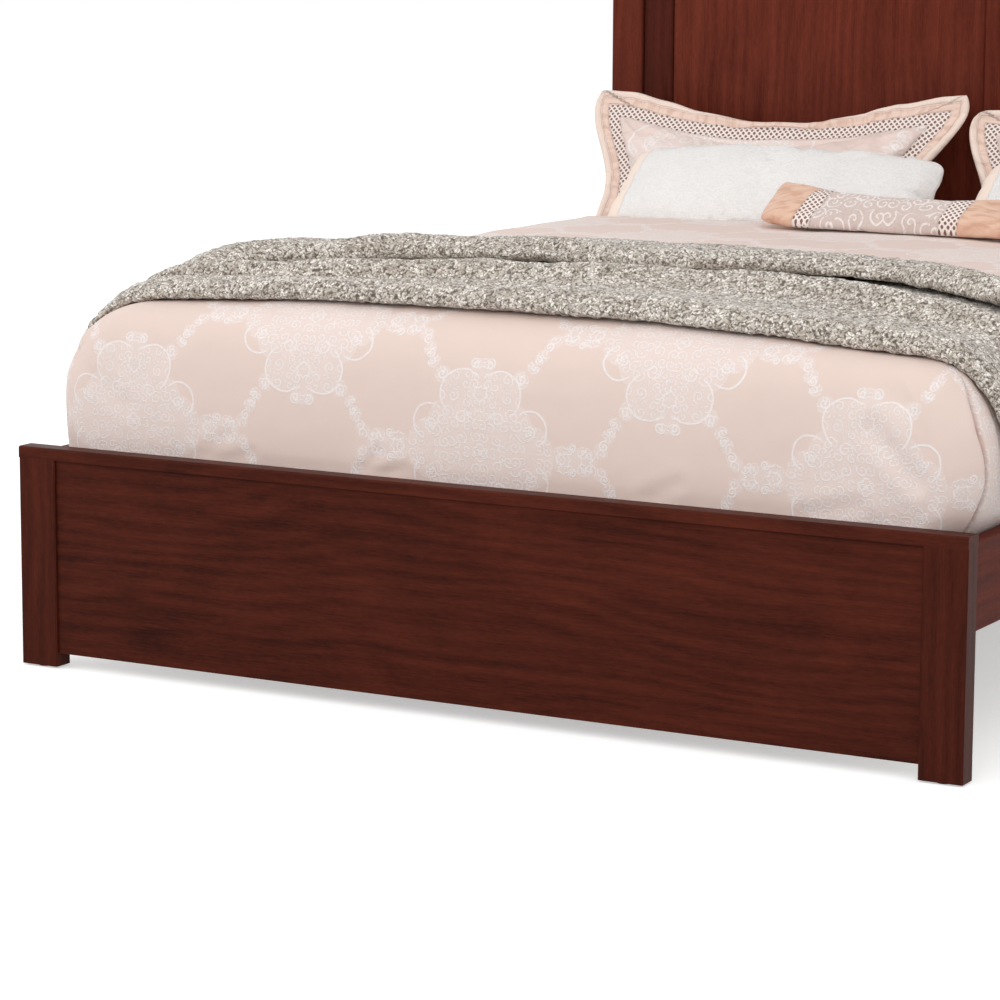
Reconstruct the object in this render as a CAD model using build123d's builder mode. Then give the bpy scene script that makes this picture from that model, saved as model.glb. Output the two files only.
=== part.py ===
from build123d import *
import os
from math import cos, pi, radians, sin

# Queen-size platform bed, dressed. Millimetres. X is across the bed, +Y points to the headboard and
# +Z up. The origin is on the floor, in the middle of the bed's length and width.

# Whole bed
bed_width = 1660
bed_length = 2145
platform_height = 270
edge_round = 2
cut_overrun = 5

# Footboard
footboard_height = 365
foot_post_width = 70
foot_post_depth = 38
foot_cap_height = 19
foot_panel_thickness = 18
foot_panel_recess = 6
foot_panel_floor_gap = 25
stretcher_height = 90

# Headboard
headboard_height = 1240
head_post_width = 70
head_post_depth = 45
head_cap_height = 22
strip_width = 67
strip_thickness = 16
strip_recess = 8
head_panel_thickness = 12
head_panel_floor_gap = 180
head_rail_height = 100
head_rail_thickness = 20
batten_width = 80
groove_chamfer = 3
cap_round = 4

# Side rails and their ledges
rail_thickness = 25
rail_height = 132
rail_top_height = 351
rail_inset = 5
ledge_width = 25
ledge_height = 25

# Slatted deck
slat_count = 13
slat_width = 80
slat_thickness = 20
slat_end_gap = 6
slat_end_margin = 15
slat_edge_round = 3

# Centre beam, its hangers and its legs
beam_width = 40
beam_height = 60
hanger_plate = 3
hanger_reach = 40
hanger_flange = 22
hanger_clearance = 0.3
hanger_screw_bite = 22
leg_width = 50
leg_bottom_height = 22
leg_chamfer = 3
leg_place_shares = {"front": -0.3, "middle": 0, "rear": 0.3}
bolt_radius = 4
bolt_reach = 30
bolt_clearance = 0.05
insert_radius = 6.5
insert_length = 15
glide_stem_radius = 4
glide_stem_length = 32
glide_stem_clearance = 0.05
glide_bore_clearance = 0.6
glide_bore_spare = 3
glide_shoulder_radius = 7.5
glide_pad_radius = 20
glide_pad_height = 8
glide_pad_round = 2
glide_rest_gap = 0.3

# Floor glides under the posts
post_glide_radius = 12
post_glide_height = 3
post_glide_pin_radius = 1.5
post_glide_pin_length = 12

# Knock-down joint of rail and post
hook_plate_thickness = 3
hook_plate_length = 60
hook_plate_height = 84
hook_plate_lift = 6
hook_reach = 12
hook_height = 18
hook_nib = 6
hook_spread = 38
hook_clearance = 0.5
hook_slot_depth = 15
slot_plate_width = 25
slot_plate_length = 94
slot_plate_thickness = 3
slot_plate_screw_spread = 80

# Fasteners
screw_radius = 2
screw_head_radius = 4
screw_clearance = 0.05
screw_bite = 12
slat_screw_bite = 10
panel_screw_bite = 8
hole_spare = 0.5
ledge_screw_count = 8
ledge_screw_margin = 90
panel_screw_margin = 90
foot_panel_screw_count = 6
head_panel_screw_count = 8
batten_screw_count = 4
batten_screw_margin = 60
hook_screw_spread = 56
dowel_radius = 4
dowel_bite = 12
dowel_margin = 160
panel_dowel_count = 5

# Mattress
mattress_side_gap = 38
mattress_length = 2032
mattress_height = 300
mattress_corner = 50
mattress_edge = 14
soft_gap = 0.4

# Comforter: a hem tucked inside the rails, a belly above them and a crowned top
cover_side_thickness = 23.5
cover_front_thickness = 11.5
cover_tuck_depth = 41
cover_tuck_clearance = 3
cover_side_belly = 30
cover_front_belly = 4
cover_shoulder_swell = 10
cover_side_shoulder = 106
cover_front_shoulder = 80
cover_loft = 61.6
cover_side_drop = 26
cover_front_drop = 20
cover_shoulder_drop = 82
cover_front_shoulder_drop = 84
cover_plan_corner = 75
cover_head_gap = 420
cover_head_edge = 30

# Throw laid across the foot end, with long soft folds
throw_thickness = 8
throw_fold_height = 16
throw_side_fold_height = 3
throw_fold_count = 4
throw_steps_per_fold = 4
throw_front_setback = 82
throw_length_left = 560
throw_length_right = 900
throw_left_drop = 87
throw_right_drop = 202
throw_plumb_drop = 157
throw_corner = 40

# Pillows. Height is measured along the pillow's lean, and lean is in degrees from the level.
pillow_seam = 5
sham_overhang = 50
sham_height = 300
sham_thickness = 100
sham_flange = 60
sham_lean = 56
sham_foot_gap = 251.6
sham_gap = 12
sham_sag = 56
sham_taper = 80
pillow_width = 670
pillow_height = 246
pillow_thickness = 100
pillow_lean = 38
pillow_foot_gap = 418
pillow_left_centre = -298
pillow_right_centre = 455
pillow_drawn_in = 14
lumbar_width = 540
lumbar_height = 206
lumbar_thickness = 70
lumbar_lean = 20
lumbar_foot_gap = 546
lumbar_settling = 8
lumbar_centre = 60
lumbar_drawn_in = 10

# Sections along a cushion, as shares of its half width, and how full each one is
station_shares = (-1, -0.88, -0.62, -0.22, 0.22, 0.62, 0.88, 1)
fullness_shares = (0.06, 0.44, 0.82, 1, 1, 0.82, 0.44, 0.06)
belly_share = 0.45
base_share = 0.45
corner_shares = (0.27, 0.75)
belly_height_share = 0.5
front_belly_share = 0.55

os.makedirs("parts", exist_ok=True)

# Faces that many pieces meet
half_width = bed_width / 2
foot_front = -bed_length / 2
foot_back = foot_front + foot_post_depth
head_back = bed_length / 2
head_front = head_back - head_post_depth
foot_post_inner = half_width - foot_post_width
head_post_inner = half_width - head_post_width
foot_post_top = footboard_height - foot_cap_height
head_post_top = headboard_height - head_cap_height
foot_panel_front = foot_front + foot_panel_recess
foot_panel_back = foot_panel_front + foot_panel_thickness
strip_front = head_front + strip_recess
strip_back = strip_front + strip_thickness
strip_inner = head_post_inner - strip_width
top_strip_bottom = head_post_top - strip_width
head_panel_front = strip_back - head_panel_thickness
head_rail_back = strip_back + head_rail_thickness
head_rail_top = head_panel_floor_gap + head_rail_height
head_top_rail_bottom = head_post_top - head_rail_height
rail_outer = half_width - rail_inset
rail_inner = rail_outer - rail_thickness
rail_bottom = rail_top_height - rail_height
ledge_inner = rail_inner - ledge_width
interior_middle = (foot_back + head_front) / 2
interior_length = head_front - foot_back
slat_bottom = platform_height - slat_thickness
slat_end = rail_inner - slat_end_gap
ledge_bottom = slat_bottom - ledge_height
stretcher_bottom = platform_height - stretcher_height
beam_bottom = slat_bottom - beam_height
hook_plate_middle = slat_bottom + hook_plate_lift + hook_plate_height / 2
screw_head_height = screw_head_radius - screw_radius
screw_hole = screw_radius + screw_clearance
screw_sink = screw_head_radius + screw_clearance

sides = {"left": -1, "right": 1}
# Each rail end: where it meets a post, and which way the post lies from there
rail_ends = {"foot": (foot_back, -1), "head": (head_front, 1)}


def keep(piece, name):
    """Label a finished piece and write its file."""
    piece.part.label = name
    export_step(piece.part, f"parts/{name}.step")


def spread(count, low, high):
    """Evenly spaced places from low to high, both included."""
    return [low + (high - low) * index / (count - 1) for index in range(count)]


def board(x_ends, y_ends, z_ends, mode=Mode.ADD):
    """Add or cut a squared board between two corners, in the part in hand."""
    x_low, x_high = sorted(x_ends)
    y_low, y_high = sorted(y_ends)
    z_low, z_high = sorted(z_ends)
    with BuildSketch(Plane.XY.offset(z_low)) as footprint:
        with Locations(((x_low + x_high) / 2, (y_low + y_high) / 2)):
            Rectangle(x_high - x_low, y_high - y_low)
    extrude(footprint.sketch, amount=z_high - z_low, mode=mode)


def facing(x, y, z, normal):
    """A plane at a point, facing along a normal."""
    return Plane(origin=(x, y, z), z_dir=normal)


def drive_screws(places, length):
    """Countersunk screws, heads flush with the given planes and shanks behind them."""
    seated = (Align.CENTER, Align.CENTER, Align.MAX)
    with Locations(*places):
        Cylinder(screw_radius, length, align=seated)
        Cone(screw_radius, screw_head_radius, screw_head_height, align=seated)


def sink_holes(places, depth):
    """Clearance holes for countersunk screws."""
    with Locations(*places):
        CounterSinkHole(screw_hole, screw_sink, depth + hole_spare, counter_sink_angle=90)


def bore_holes(places, radius, depth):
    """Plain blind holes behind the given planes."""
    with Locations(*places):
        Hole(radius, depth + hole_spare)


def moved_to(places, y):
    """The same screw lines, started at another depth along the bed."""
    return [facing(place.origin.X, y, place.origin.Z, place.z_dir) for place in places]


def turned_up(places):
    """The same dowel lines, seen from the cap's underside."""
    return [facing(place.origin.X, place.origin.Y, place.origin.Z, (0, 0, -1)) for place in places]


def on_side(places, side):
    """Those of the places that lie on the left (-1) or right (1) half."""
    return [place for place in places if side * place.origin.X > 0]


# Places of the fasteners

def post_dowel_places(post_width, middle, height):
    """One upright dowel in the top of each post."""
    column = half_width - post_width / 2
    return [facing(side * column, middle, height, (0, 0, 1)) for side in sides.values()]


def panel_dowel_places(inner, middle, height):
    """A row of upright dowels in the top of the panel between the posts."""
    reach = inner - dowel_margin
    return [facing(x, middle, height, (0, 0, 1)) for x in spread(panel_dowel_count, -reach, reach)]


foot_post_middle = foot_front + foot_post_depth / 2
head_post_middle = head_back - head_post_depth / 2
foot_post_dowels = post_dowel_places(foot_post_width, foot_post_middle, foot_post_top)
head_post_dowels = post_dowel_places(head_post_width, head_post_middle, head_post_top)
foot_panel_dowels = panel_dowel_places(
    foot_post_inner, foot_panel_front + foot_panel_thickness / 2, foot_post_top
)
head_strip_dowels = panel_dowel_places(head_post_inner, strip_front + strip_thickness / 2, head_post_top)
post_glide_places = [
    facing(side * (half_width - width / 2), middle, post_glide_height, (0, 0, -1))
    for side in sides.values()
    for width, middle in ((foot_post_width, foot_post_middle), (head_post_width, head_post_middle))
]

foot_panel_screws = [
    facing(x, foot_back, (stretcher_bottom + platform_height) / 2, (0, 1, 0))
    for x in spread(
        foot_panel_screw_count,
        panel_screw_margin - foot_post_inner,
        foot_post_inner - panel_screw_margin,
    )
]
head_panel_columns = spread(
    head_panel_screw_count,
    panel_screw_margin - head_post_inner,
    head_post_inner - panel_screw_margin,
)
head_stile_columns = [side * (strip_inner + head_post_inner) / 2 for side in sides.values()]
head_bottom_screws = [
    facing(x, head_rail_back, (head_panel_floor_gap + head_rail_top) / 2, (0, 1, 0))
    for x in head_panel_columns + head_stile_columns
]
head_top_screws = [
    facing(x, head_rail_back, (top_strip_bottom + head_post_top) / 2, (0, 1, 0))
    for x in head_panel_columns + head_stile_columns
]
batten_screws = [
    facing(side * batten_width / 4, head_rail_back, z, (0, 1, 0))
    for side in sides.values()
    for z in spread(
        batten_screw_count,
        head_rail_top + batten_screw_margin,
        head_top_rail_bottom - batten_screw_margin,
    )
]

slat_centres = spread(
    slat_count,
    foot_back + slat_end_margin + slat_width / 2,
    head_front - slat_end_margin - slat_width / 2,
)
slat_screw_column = (ledge_inner + slat_end) / 2
leg_centres = {
    place: interior_middle + share * interior_length for place, share in leg_place_shares.items()
}
hanger_faces = {"foot": (foot_back, 1), "head": (head_panel_front, -1)}
hanger_half_inside = beam_width / 2 + hanger_clearance
hanger_half_outside = hanger_half_inside + hanger_plate
hanger_bottom = beam_bottom - hanger_plate


def ledge_screw_places(side):
    """Level screws that hold a ledge to its rail."""
    rows = spread(ledge_screw_count, foot_back + ledge_screw_margin, head_front - ledge_screw_margin)
    height = ledge_bottom + ledge_height / 3
    return [facing(side * ledge_inner, y, height, (-side, 0, 0)) for y in rows]


def slat_screw_places(y):
    """One upright screw near each end of a slat."""
    return [facing(side * slat_screw_column, y, platform_height, (0, 0, 1)) for side in sides.values()]


def hook_screw_places(side, end):
    """Screws of one hook plate into the inner face of its rail."""
    joint, away = rail_ends[end]
    x = side * (rail_inner - hook_plate_thickness)
    y = joint - away * hook_plate_length / 2
    heights = spread(3, hook_plate_middle - hook_screw_spread / 2, hook_plate_middle + hook_screw_spread / 2)
    return [facing(x, y, z, (-side, 0, 0)) for z in heights]


def slot_screw_places(side, end):
    """Screws of one slot plate into its post, above and below the slots."""
    joint, away = rail_ends[end]
    x = side * (rail_inner - hook_plate_thickness / 2)
    heights = [hook_plate_middle + way * slot_plate_screw_spread / 2 for way in (-1, 1)]
    return [facing(x, joint, z, (0, -away, 0)) for z in heights]


def hanger_screw_places(end):
    """Four screws through the flanges of one beam hanger."""
    face, toward = hanger_faces[end]
    column = hanger_half_outside + hanger_flange / 2
    heights = (hanger_bottom + hanger_flange / 2, slat_bottom - hanger_flange / 2)
    return [
        facing(side * column, face + toward * hanger_plate, z, (0, toward, 0))
        for side in sides.values()
        for z in heights
    ]


# Knock-down joint between rails and posts

def hook_slot_ends(centre):
    """Bottom and top of one slot, which is tall enough to drop its hook in and down."""
    lip = centre - hook_height / 2 + hook_nib
    return lip, centre + hook_height / 2 + hook_nib + hook_clearance


def hook_centres():
    """Heights of the two hooks of a plate."""
    return spread(2, hook_plate_middle - hook_spread / 2, hook_plate_middle + hook_spread / 2)


def cut_post_pockets(side, end):
    """The housing of the slot plate and the deeper slots for the hooks, cut into a post."""
    joint, away = rail_ends[end]
    middle = side * (rail_inner - hook_plate_thickness / 2)
    half_plate = slot_plate_width / 2
    half_length = slot_plate_length / 2
    board(
        (middle - half_plate, middle + half_plate),
        (joint, joint + away * slot_plate_thickness),
        (hook_plate_middle - half_length, hook_plate_middle + half_length),
        mode=Mode.SUBTRACT,
    )
    half_slot = hook_plate_thickness / 2 + hook_clearance
    for centre in hook_centres():
        low, high = hook_slot_ends(centre)
        board(
            (middle - half_slot, middle + half_slot),
            (joint, joint + away * hook_slot_depth),
            (low - hook_nib - hook_clearance, high),
            mode=Mode.SUBTRACT,
        )
    sink_holes(slot_screw_places(side, end), slot_plate_thickness + screw_bite)


def add_slot_plate(side, end):
    """A steel plate let into the post, with two slots and two screw holes."""
    joint, away = rail_ends[end]
    middle = side * (rail_inner - hook_plate_thickness / 2)
    half_plate = slot_plate_width / 2
    half_length = slot_plate_length / 2
    depth = (joint, joint + away * slot_plate_thickness)
    board(
        (middle - half_plate, middle + half_plate),
        depth,
        (hook_plate_middle - half_length, hook_plate_middle + half_length),
    )
    half_slot = hook_plate_thickness / 2 + hook_clearance
    for centre in hook_centres():
        board((middle - half_slot, middle + half_slot), depth, hook_slot_ends(centre), mode=Mode.SUBTRACT)
    sink_holes(slot_screw_places(side, end), slot_plate_thickness)


def add_hook_plate(side, end):
    """A steel plate on the rail's inner face, with two hooks that drop over the slot plate."""
    joint, away = rail_ends[end]
    x_ends = (side * (rail_inner - hook_plate_thickness), side * rail_inner)
    half_height = hook_plate_height / 2
    board(
        x_ends,
        (joint, joint - away * hook_plate_length),
        (hook_plate_middle - half_height, hook_plate_middle + half_height),
    )
    for centre in hook_centres():
        low, high = centre - hook_height / 2, centre + hook_height / 2
        throat = joint + away * (slot_plate_thickness + hook_clearance)
        board(x_ends, (joint, throat), (low + hook_nib, high))
        board(x_ends, (throat, joint + away * hook_reach), (low, high))
    sink_holes(hook_screw_places(side, end), hook_plate_thickness)


# Footboard

for side_name, side in sides.items():
    with BuildPart() as footboard_post:
        board(
            (side * foot_post_inner, side * half_width),
            (foot_front, foot_back),
            (post_glide_height, foot_post_top),
        )
        chamfer(footboard_post.edges().filter_by(Axis.Z), edge_round)
        cut_post_pockets(side, "foot")
        bore_holes(on_side(foot_post_dowels, side), dowel_radius + screw_clearance, dowel_bite)
        bore_holes(
            [place for place in on_side(post_glide_places, side) if place.origin.Y < 0],
            post_glide_pin_radius + screw_clearance,
            post_glide_pin_length,
        )
    keep(footboard_post, f"footboard_post_{side_name}")

with BuildPart() as footboard_panel:
    board(
        (-foot_post_inner, foot_post_inner),
        (foot_panel_front, foot_panel_back),
        (foot_panel_floor_gap, foot_post_top),
    )
    bore_holes(foot_panel_dowels, dowel_radius + screw_clearance, dowel_bite)
    bore_holes(moved_to(foot_panel_screws, foot_panel_back), screw_hole, panel_screw_bite)
    bore_holes(
        moved_to(hanger_screw_places("foot"), foot_panel_back),
        screw_hole,
        hanger_screw_bite - (foot_back - foot_panel_back),
    )
keep(footboard_panel, "footboard_panel")

with BuildPart() as footboard_stretcher:
    board(
        (-foot_post_inner, foot_post_inner),
        (foot_panel_back, foot_back),
        (stretcher_bottom, platform_height),
    )
    sink_holes(foot_panel_screws, foot_back - foot_panel_back)
    bore_holes(
        moved_to(hanger_screw_places("foot"), foot_back), screw_hole, foot_back - foot_panel_back
    )
keep(footboard_stretcher, "footboard_stretcher")

with BuildPart() as footboard_cap:
    board((-half_width, half_width), (foot_front, foot_back), (foot_post_top, footboard_height))
    bore_holes(turned_up(foot_post_dowels + foot_panel_dowels), dowel_radius + screw_clearance, dowel_bite)
    fillet(footboard_cap.edges().filter_by(Axis.X).group_by(Axis.Z)[-1], cap_round)
keep(footboard_cap, "footboard_cap")

# Headboard

for side_name, side in sides.items():
    with BuildPart() as headboard_post:
        board(
            (side * head_post_inner, side * half_width),
            (head_front, head_back),
            (post_glide_height, head_post_top),
        )
        chamfer(headboard_post.edges().filter_by(Axis.Z), edge_round)
        cut_post_pockets(side, "head")
        bore_holes(on_side(head_post_dowels, side), dowel_radius + screw_clearance, dowel_bite)
        bore_holes(
            [place for place in on_side(post_glide_places, side) if place.origin.Y > 0],
            post_glide_pin_radius + screw_clearance,
            post_glide_pin_length,
        )
    keep(headboard_post, f"headboard_post_{side_name}")

    with BuildPart() as headboard_stile:
        board(
            (side * strip_inner, side * head_post_inner),
            (strip_front, strip_back),
            (head_panel_floor_gap, top_strip_bottom),
        )
        chamfer(headboard_stile.faces().sort_by(Axis.Y)[0].edges(), groove_chamfer)
        stile_screws = on_side(head_bottom_screws[-len(head_stile_columns):], side)
        bore_holes(moved_to(stile_screws, strip_back), screw_hole, panel_screw_bite)
    keep(headboard_stile, f"headboard_stile_{side_name}")

    with BuildPart() as headboard_panel:
        board(
            (0, side * strip_inner),
            (head_panel_front, strip_back),
            (head_panel_floor_gap, top_strip_bottom),
        )
        chamfer(headboard_panel.faces().sort_by(Axis.Y)[0].edges(), groove_chamfer)
        panel_screws = on_side(head_bottom_screws[: len(head_panel_columns)] + batten_screws, side)
        bore_holes(moved_to(panel_screws, strip_back), screw_hole, panel_screw_bite)
        bore_holes(
            on_side(moved_to(hanger_screw_places("head"), head_panel_front), side),
            screw_hole,
            head_panel_thickness,
        )
    keep(headboard_panel, f"headboard_panel_{side_name}")

with BuildPart() as headboard_top_strip:
    board((-head_post_inner, head_post_inner), (strip_front, strip_back), (top_strip_bottom, head_post_top))
    chamfer(headboard_top_strip.faces().sort_by(Axis.Y)[0].edges(), groove_chamfer)
    bore_holes(head_strip_dowels, dowel_radius + screw_clearance, dowel_bite)
    bore_holes(moved_to(head_top_screws, strip_back), screw_hole, panel_screw_bite)
keep(headboard_top_strip, "headboard_top_strip")

with BuildPart() as headboard_cap:
    board((-half_width, half_width), (head_front, head_back), (head_post_top, headboard_height))
    bore_holes(turned_up(head_post_dowels + head_strip_dowels), dowel_radius + screw_clearance, dowel_bite)
    fillet(headboard_cap.edges().filter_by(Axis.X).group_by(Axis.Z)[-1], cap_round)
keep(headboard_cap, "headboard_cap")

with BuildPart() as headboard_bottom_rail:
    board(
        (-head_post_inner, head_post_inner),
        (strip_back, head_rail_back),
        (head_panel_floor_gap, head_rail_top),
    )
    sink_holes(head_bottom_screws, head_rail_thickness)
    bore_holes(
        moved_to(hanger_screw_places("head"), strip_back),
        screw_hole,
        hanger_screw_bite - head_panel_thickness,
    )
keep(headboard_bottom_rail, "headboard_bottom_rail")

with BuildPart() as headboard_top_rail:
    board(
        (-head_post_inner, head_post_inner),
        (strip_back, head_rail_back),
        (head_top_rail_bottom, head_post_top),
    )
    sink_holes(head_top_screws, head_rail_thickness)
keep(headboard_top_rail, "headboard_top_rail")

with BuildPart() as headboard_centre_batten:
    board(
        (-batten_width / 2, batten_width / 2),
        (strip_back, head_rail_back),
        (head_rail_top, head_top_rail_bottom),
    )
    sink_holes(batten_screws, head_rail_thickness)
keep(headboard_centre_batten, "headboard_centre_batten")

# Side rails and ledges

for side_name, side in sides.items():
    with BuildPart() as side_rail:
        board(
            (side * rail_inner, side * rail_outer),
            (foot_back, head_front),
            (rail_bottom, rail_top_height),
        )
        chamfer(side_rail.edges().filter_by(Axis.Y), edge_round)
        bore_holes(
            [
                facing(side * rail_inner, place.origin.Y, place.origin.Z, (-side, 0, 0))
                for place in ledge_screw_places(side)
                + hook_screw_places(side, "foot")
                + hook_screw_places(side, "head")
            ],
            screw_hole,
            screw_bite,
        )
    keep(side_rail, f"side_rail_{side_name}")

    with BuildPart() as slat_ledge:
        board((side * ledge_inner, side * rail_inner), (foot_back, head_front), (ledge_bottom, slat_bottom))
        sink_holes(ledge_screw_places(side), ledge_width)
        bore_holes(
            [
                facing(side * slat_screw_column, y, slat_bottom, (0, 0, 1))
                for y in slat_centres
            ],
            screw_hole,
            slat_screw_bite,
        )
    keep(slat_ledge, f"slat_ledge_{side_name}")

with BuildPart() as rail_hook_plates:
    for side in sides.values():
        for end in rail_ends:
            add_hook_plate(side, end)
keep(rail_hook_plates, "rail_hook_plates")

with BuildPart() as post_slot_plates:
    for side in sides.values():
        for end in rail_ends:
            add_slot_plate(side, end)
keep(post_slot_plates, "post_slot_plates")

# Deck

for number, y in enumerate(slat_centres, start=1):
    with BuildPart() as slat:
        board(
            (-slat_end, slat_end),
            (y - slat_width / 2, y + slat_width / 2),
            (slat_bottom, platform_height),
        )
        fillet(slat.edges().filter_by(Axis.X).group_by(Axis.Z)[-1], slat_edge_round)
        sink_holes(slat_screw_places(y), slat_thickness)
    keep(slat, f"slat_{number:02d}")

with BuildPart() as centre_beam:
    board(
        (-beam_width / 2, beam_width / 2),
        (foot_back + hanger_plate, head_panel_front - hanger_plate),
        (beam_bottom, slat_bottom),
    )
    bore_holes(
        [facing(0, y, beam_bottom, (0, 0, -1)) for y in leg_centres.values()],
        bolt_radius + bolt_clearance,
        bolt_reach,
    )
keep(centre_beam, "centre_beam")

with BuildPart() as beam_hangers:
    for end, (face, toward) in hanger_faces.items():
        flange_reach = hanger_half_outside + hanger_flange
        board(
            (-flange_reach, flange_reach),
            (face, face + toward * hanger_plate),
            (hanger_bottom, slat_bottom),
        )
        cradle = (face + toward * hanger_plate, face + toward * (hanger_plate + hanger_reach))
        for side in sides.values():
            board(
                (side * hanger_half_inside, side * hanger_half_outside), cradle, (hanger_bottom, slat_bottom)
            )
        board((-hanger_half_inside, hanger_half_inside), cradle, (hanger_bottom, beam_bottom))
        sink_holes(hanger_screw_places(end), hanger_plate)
keep(beam_hangers, "beam_hangers")

# Centre legs, their bolts and their levelling glides

for place, y in leg_centres.items():
    with BuildPart() as centre_leg:
        board(
            (-leg_width / 2, leg_width / 2),
            (y - leg_width / 2, y + leg_width / 2),
            (leg_bottom_height, beam_bottom),
        )
        chamfer(centre_leg.edges().filter_by(Axis.Z), leg_chamfer)
        bore_holes([facing(0, y, beam_bottom, (0, 0, 1))], bolt_radius + bolt_clearance, bolt_reach)
        underside = [facing(0, y, leg_bottom_height, (0, 0, -1))]
        bore_holes(underside, insert_radius + screw_clearance, insert_length)
        bore_holes(
            underside, glide_stem_radius + glide_bore_clearance, glide_stem_length + glide_bore_spare
        )
    keep(centre_leg, f"centre_leg_{place}")

    with BuildPart() as glide:
        shoulder_top = leg_bottom_height - glide_rest_gap
        with BuildSketch(Plane.XZ.offset(-y)):
            with BuildLine():
                Polyline(
                    (0, 0),
                    (glide_pad_radius, 0),
                    (glide_pad_radius, glide_pad_height - glide_pad_round),
                    (glide_pad_radius - glide_pad_round, glide_pad_height),
                    (glide_shoulder_radius, glide_pad_height),
                    (glide_shoulder_radius, shoulder_top),
                    (glide_stem_radius, shoulder_top),
                    (glide_stem_radius, shoulder_top + glide_stem_length),
                    (0, shoulder_top + glide_stem_length),
                    close=True,
                )
            make_face()
        revolve(axis=Axis((0, y, 0), (0, 0, 1)))
    keep(glide, f"glide_{place}")

with BuildPart() as leg_bolts:
    for y in leg_centres.values():
        with Locations(facing(0, y, beam_bottom, (0, 0, 1))):
            Cylinder(bolt_radius, bolt_reach * 2)
keep(leg_bolts, "leg_bolts")

with BuildPart() as leg_inserts:
    for y in leg_centres.values():
        with BuildSketch(Plane.XY.offset(leg_bottom_height)):
            with Locations((0, y)):
                Circle(insert_radius)
                Circle(glide_stem_radius + glide_stem_clearance, mode=Mode.SUBTRACT)
        extrude(amount=insert_length)
keep(leg_inserts, "leg_inserts")

# Floor glides of the posts

with BuildPart() as post_glides:
    with Locations(*post_glide_places):
        Cylinder(post_glide_radius, post_glide_height, align=(Align.CENTER, Align.CENTER, Align.MIN))
        Cylinder(post_glide_pin_radius, post_glide_pin_length, align=(Align.CENTER, Align.CENTER, Align.MAX))
keep(post_glides, "post_glides")

# Fasteners

with BuildPart() as cap_dowels:
    with Locations(*foot_post_dowels, *foot_panel_dowels, *head_post_dowels, *head_strip_dowels):
        Cylinder(dowel_radius, dowel_bite * 2)
keep(cap_dowels, "cap_dowels")

with BuildPart() as panel_screws:
    drive_screws(foot_panel_screws, foot_back - foot_panel_back + panel_screw_bite)
    drive_screws(
        head_bottom_screws + head_top_screws + batten_screws, head_rail_thickness + panel_screw_bite
    )
keep(panel_screws, "panel_screws")

with BuildPart() as ledge_screws:
    for side in sides.values():
        drive_screws(ledge_screw_places(side), ledge_width + screw_bite)
keep(ledge_screws, "ledge_screws")

with BuildPart() as slat_screws:
    for y in slat_centres:
        drive_screws(slat_screw_places(y), slat_thickness + slat_screw_bite)
keep(slat_screws, "slat_screws")

with BuildPart() as bracket_screws:
    for side in sides.values():
        for end in rail_ends:
            drive_screws(hook_screw_places(side, end), hook_plate_thickness + screw_bite)
            drive_screws(slot_screw_places(side, end), slot_plate_thickness + screw_bite)
    for end in hanger_faces:
        drive_screws(hanger_screw_places(end), hanger_plate + hanger_screw_bite)
keep(bracket_screws, "bracket_screws")

# Mattress

mattress_bottom = platform_height + soft_gap
mattress_top = mattress_bottom + mattress_height
mattress_width = (rail_inner - mattress_side_gap) * 2
mattress_front = interior_middle - mattress_length / 2

with BuildPart() as mattress:
    with BuildSketch(Plane.XY.offset(mattress_bottom)):
        with Locations((0, interior_middle)):
            RectangleRounded(mattress_width, mattress_length, mattress_corner)
    extrude(amount=mattress_height)
    fillet(mattress.faces().filter_by(Plane.XY).edges(), mattress_edge)
keep(mattress, "mattress")

# Comforter. Its outside is one outline across the bed, one along it and one in plan, cut together.

cover_crown_height = mattress_top + cover_loft
cover_top_height = cover_crown_height - cover_side_drop
cover_front_top_height = cover_crown_height - cover_front_drop
cover_shoulder_height = cover_crown_height - cover_shoulder_drop
cover_front_shoulder_height = cover_crown_height - cover_front_shoulder_drop
cover_hem_height = rail_top_height - cover_tuck_depth
cover_inner_side = mattress_width / 2 + soft_gap
cover_hem_side = cover_inner_side + cover_side_thickness
cover_shoulder_side = cover_hem_side + cover_shoulder_swell
cover_inner_front = mattress_front - soft_gap
cover_hem_front = cover_inner_front - cover_front_thickness
cover_front = cover_hem_front - cover_front_belly
cover_head = head_front - cover_head_gap
cover_side_tuck = rail_top_height + cover_tuck_clearance
cover_front_tuck = footboard_height + cover_tuck_clearance
cover_belly_height = cover_side_tuck + (cover_shoulder_height - cover_side_tuck) * belly_height_share
across_share, up_share = corner_shares


def across_outline(y, side_growth, top_growth):
    """The comforter's outline across the bed at one place along it, grown at its sides and top."""
    hem = cover_hem_height
    hem_side = cover_hem_side + side_growth
    shoulder = cover_shoulder_side + side_growth
    top_side = shoulder - cover_side_shoulder
    top = cover_top_height + top_growth
    rise = top - cover_shoulder_height
    with BuildSketch(Plane.XZ.offset(-y)) as outline:
        with BuildLine():
            for side in sides.values():
                Line((side * hem_side, hem), (side * hem_side, cover_side_tuck))
                ThreePointArc(
                    (side * hem_side, cover_side_tuck),
                    (side * (hem_side + cover_side_belly), cover_belly_height),
                    (side * shoulder, cover_shoulder_height),
                )
                ThreePointArc(
                    (side * shoulder, cover_shoulder_height),
                    (
                        side * (shoulder - cover_side_shoulder * across_share),
                        cover_shoulder_height + rise * up_share,
                    ),
                    (side * top_side, top),
                )
            ThreePointArc((-top_side, top), (0, cover_crown_height + top_growth), (top_side, top))
            Line((-hem_side, hem), (hem_side, hem))
        make_face()
    return outline.sketch


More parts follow.
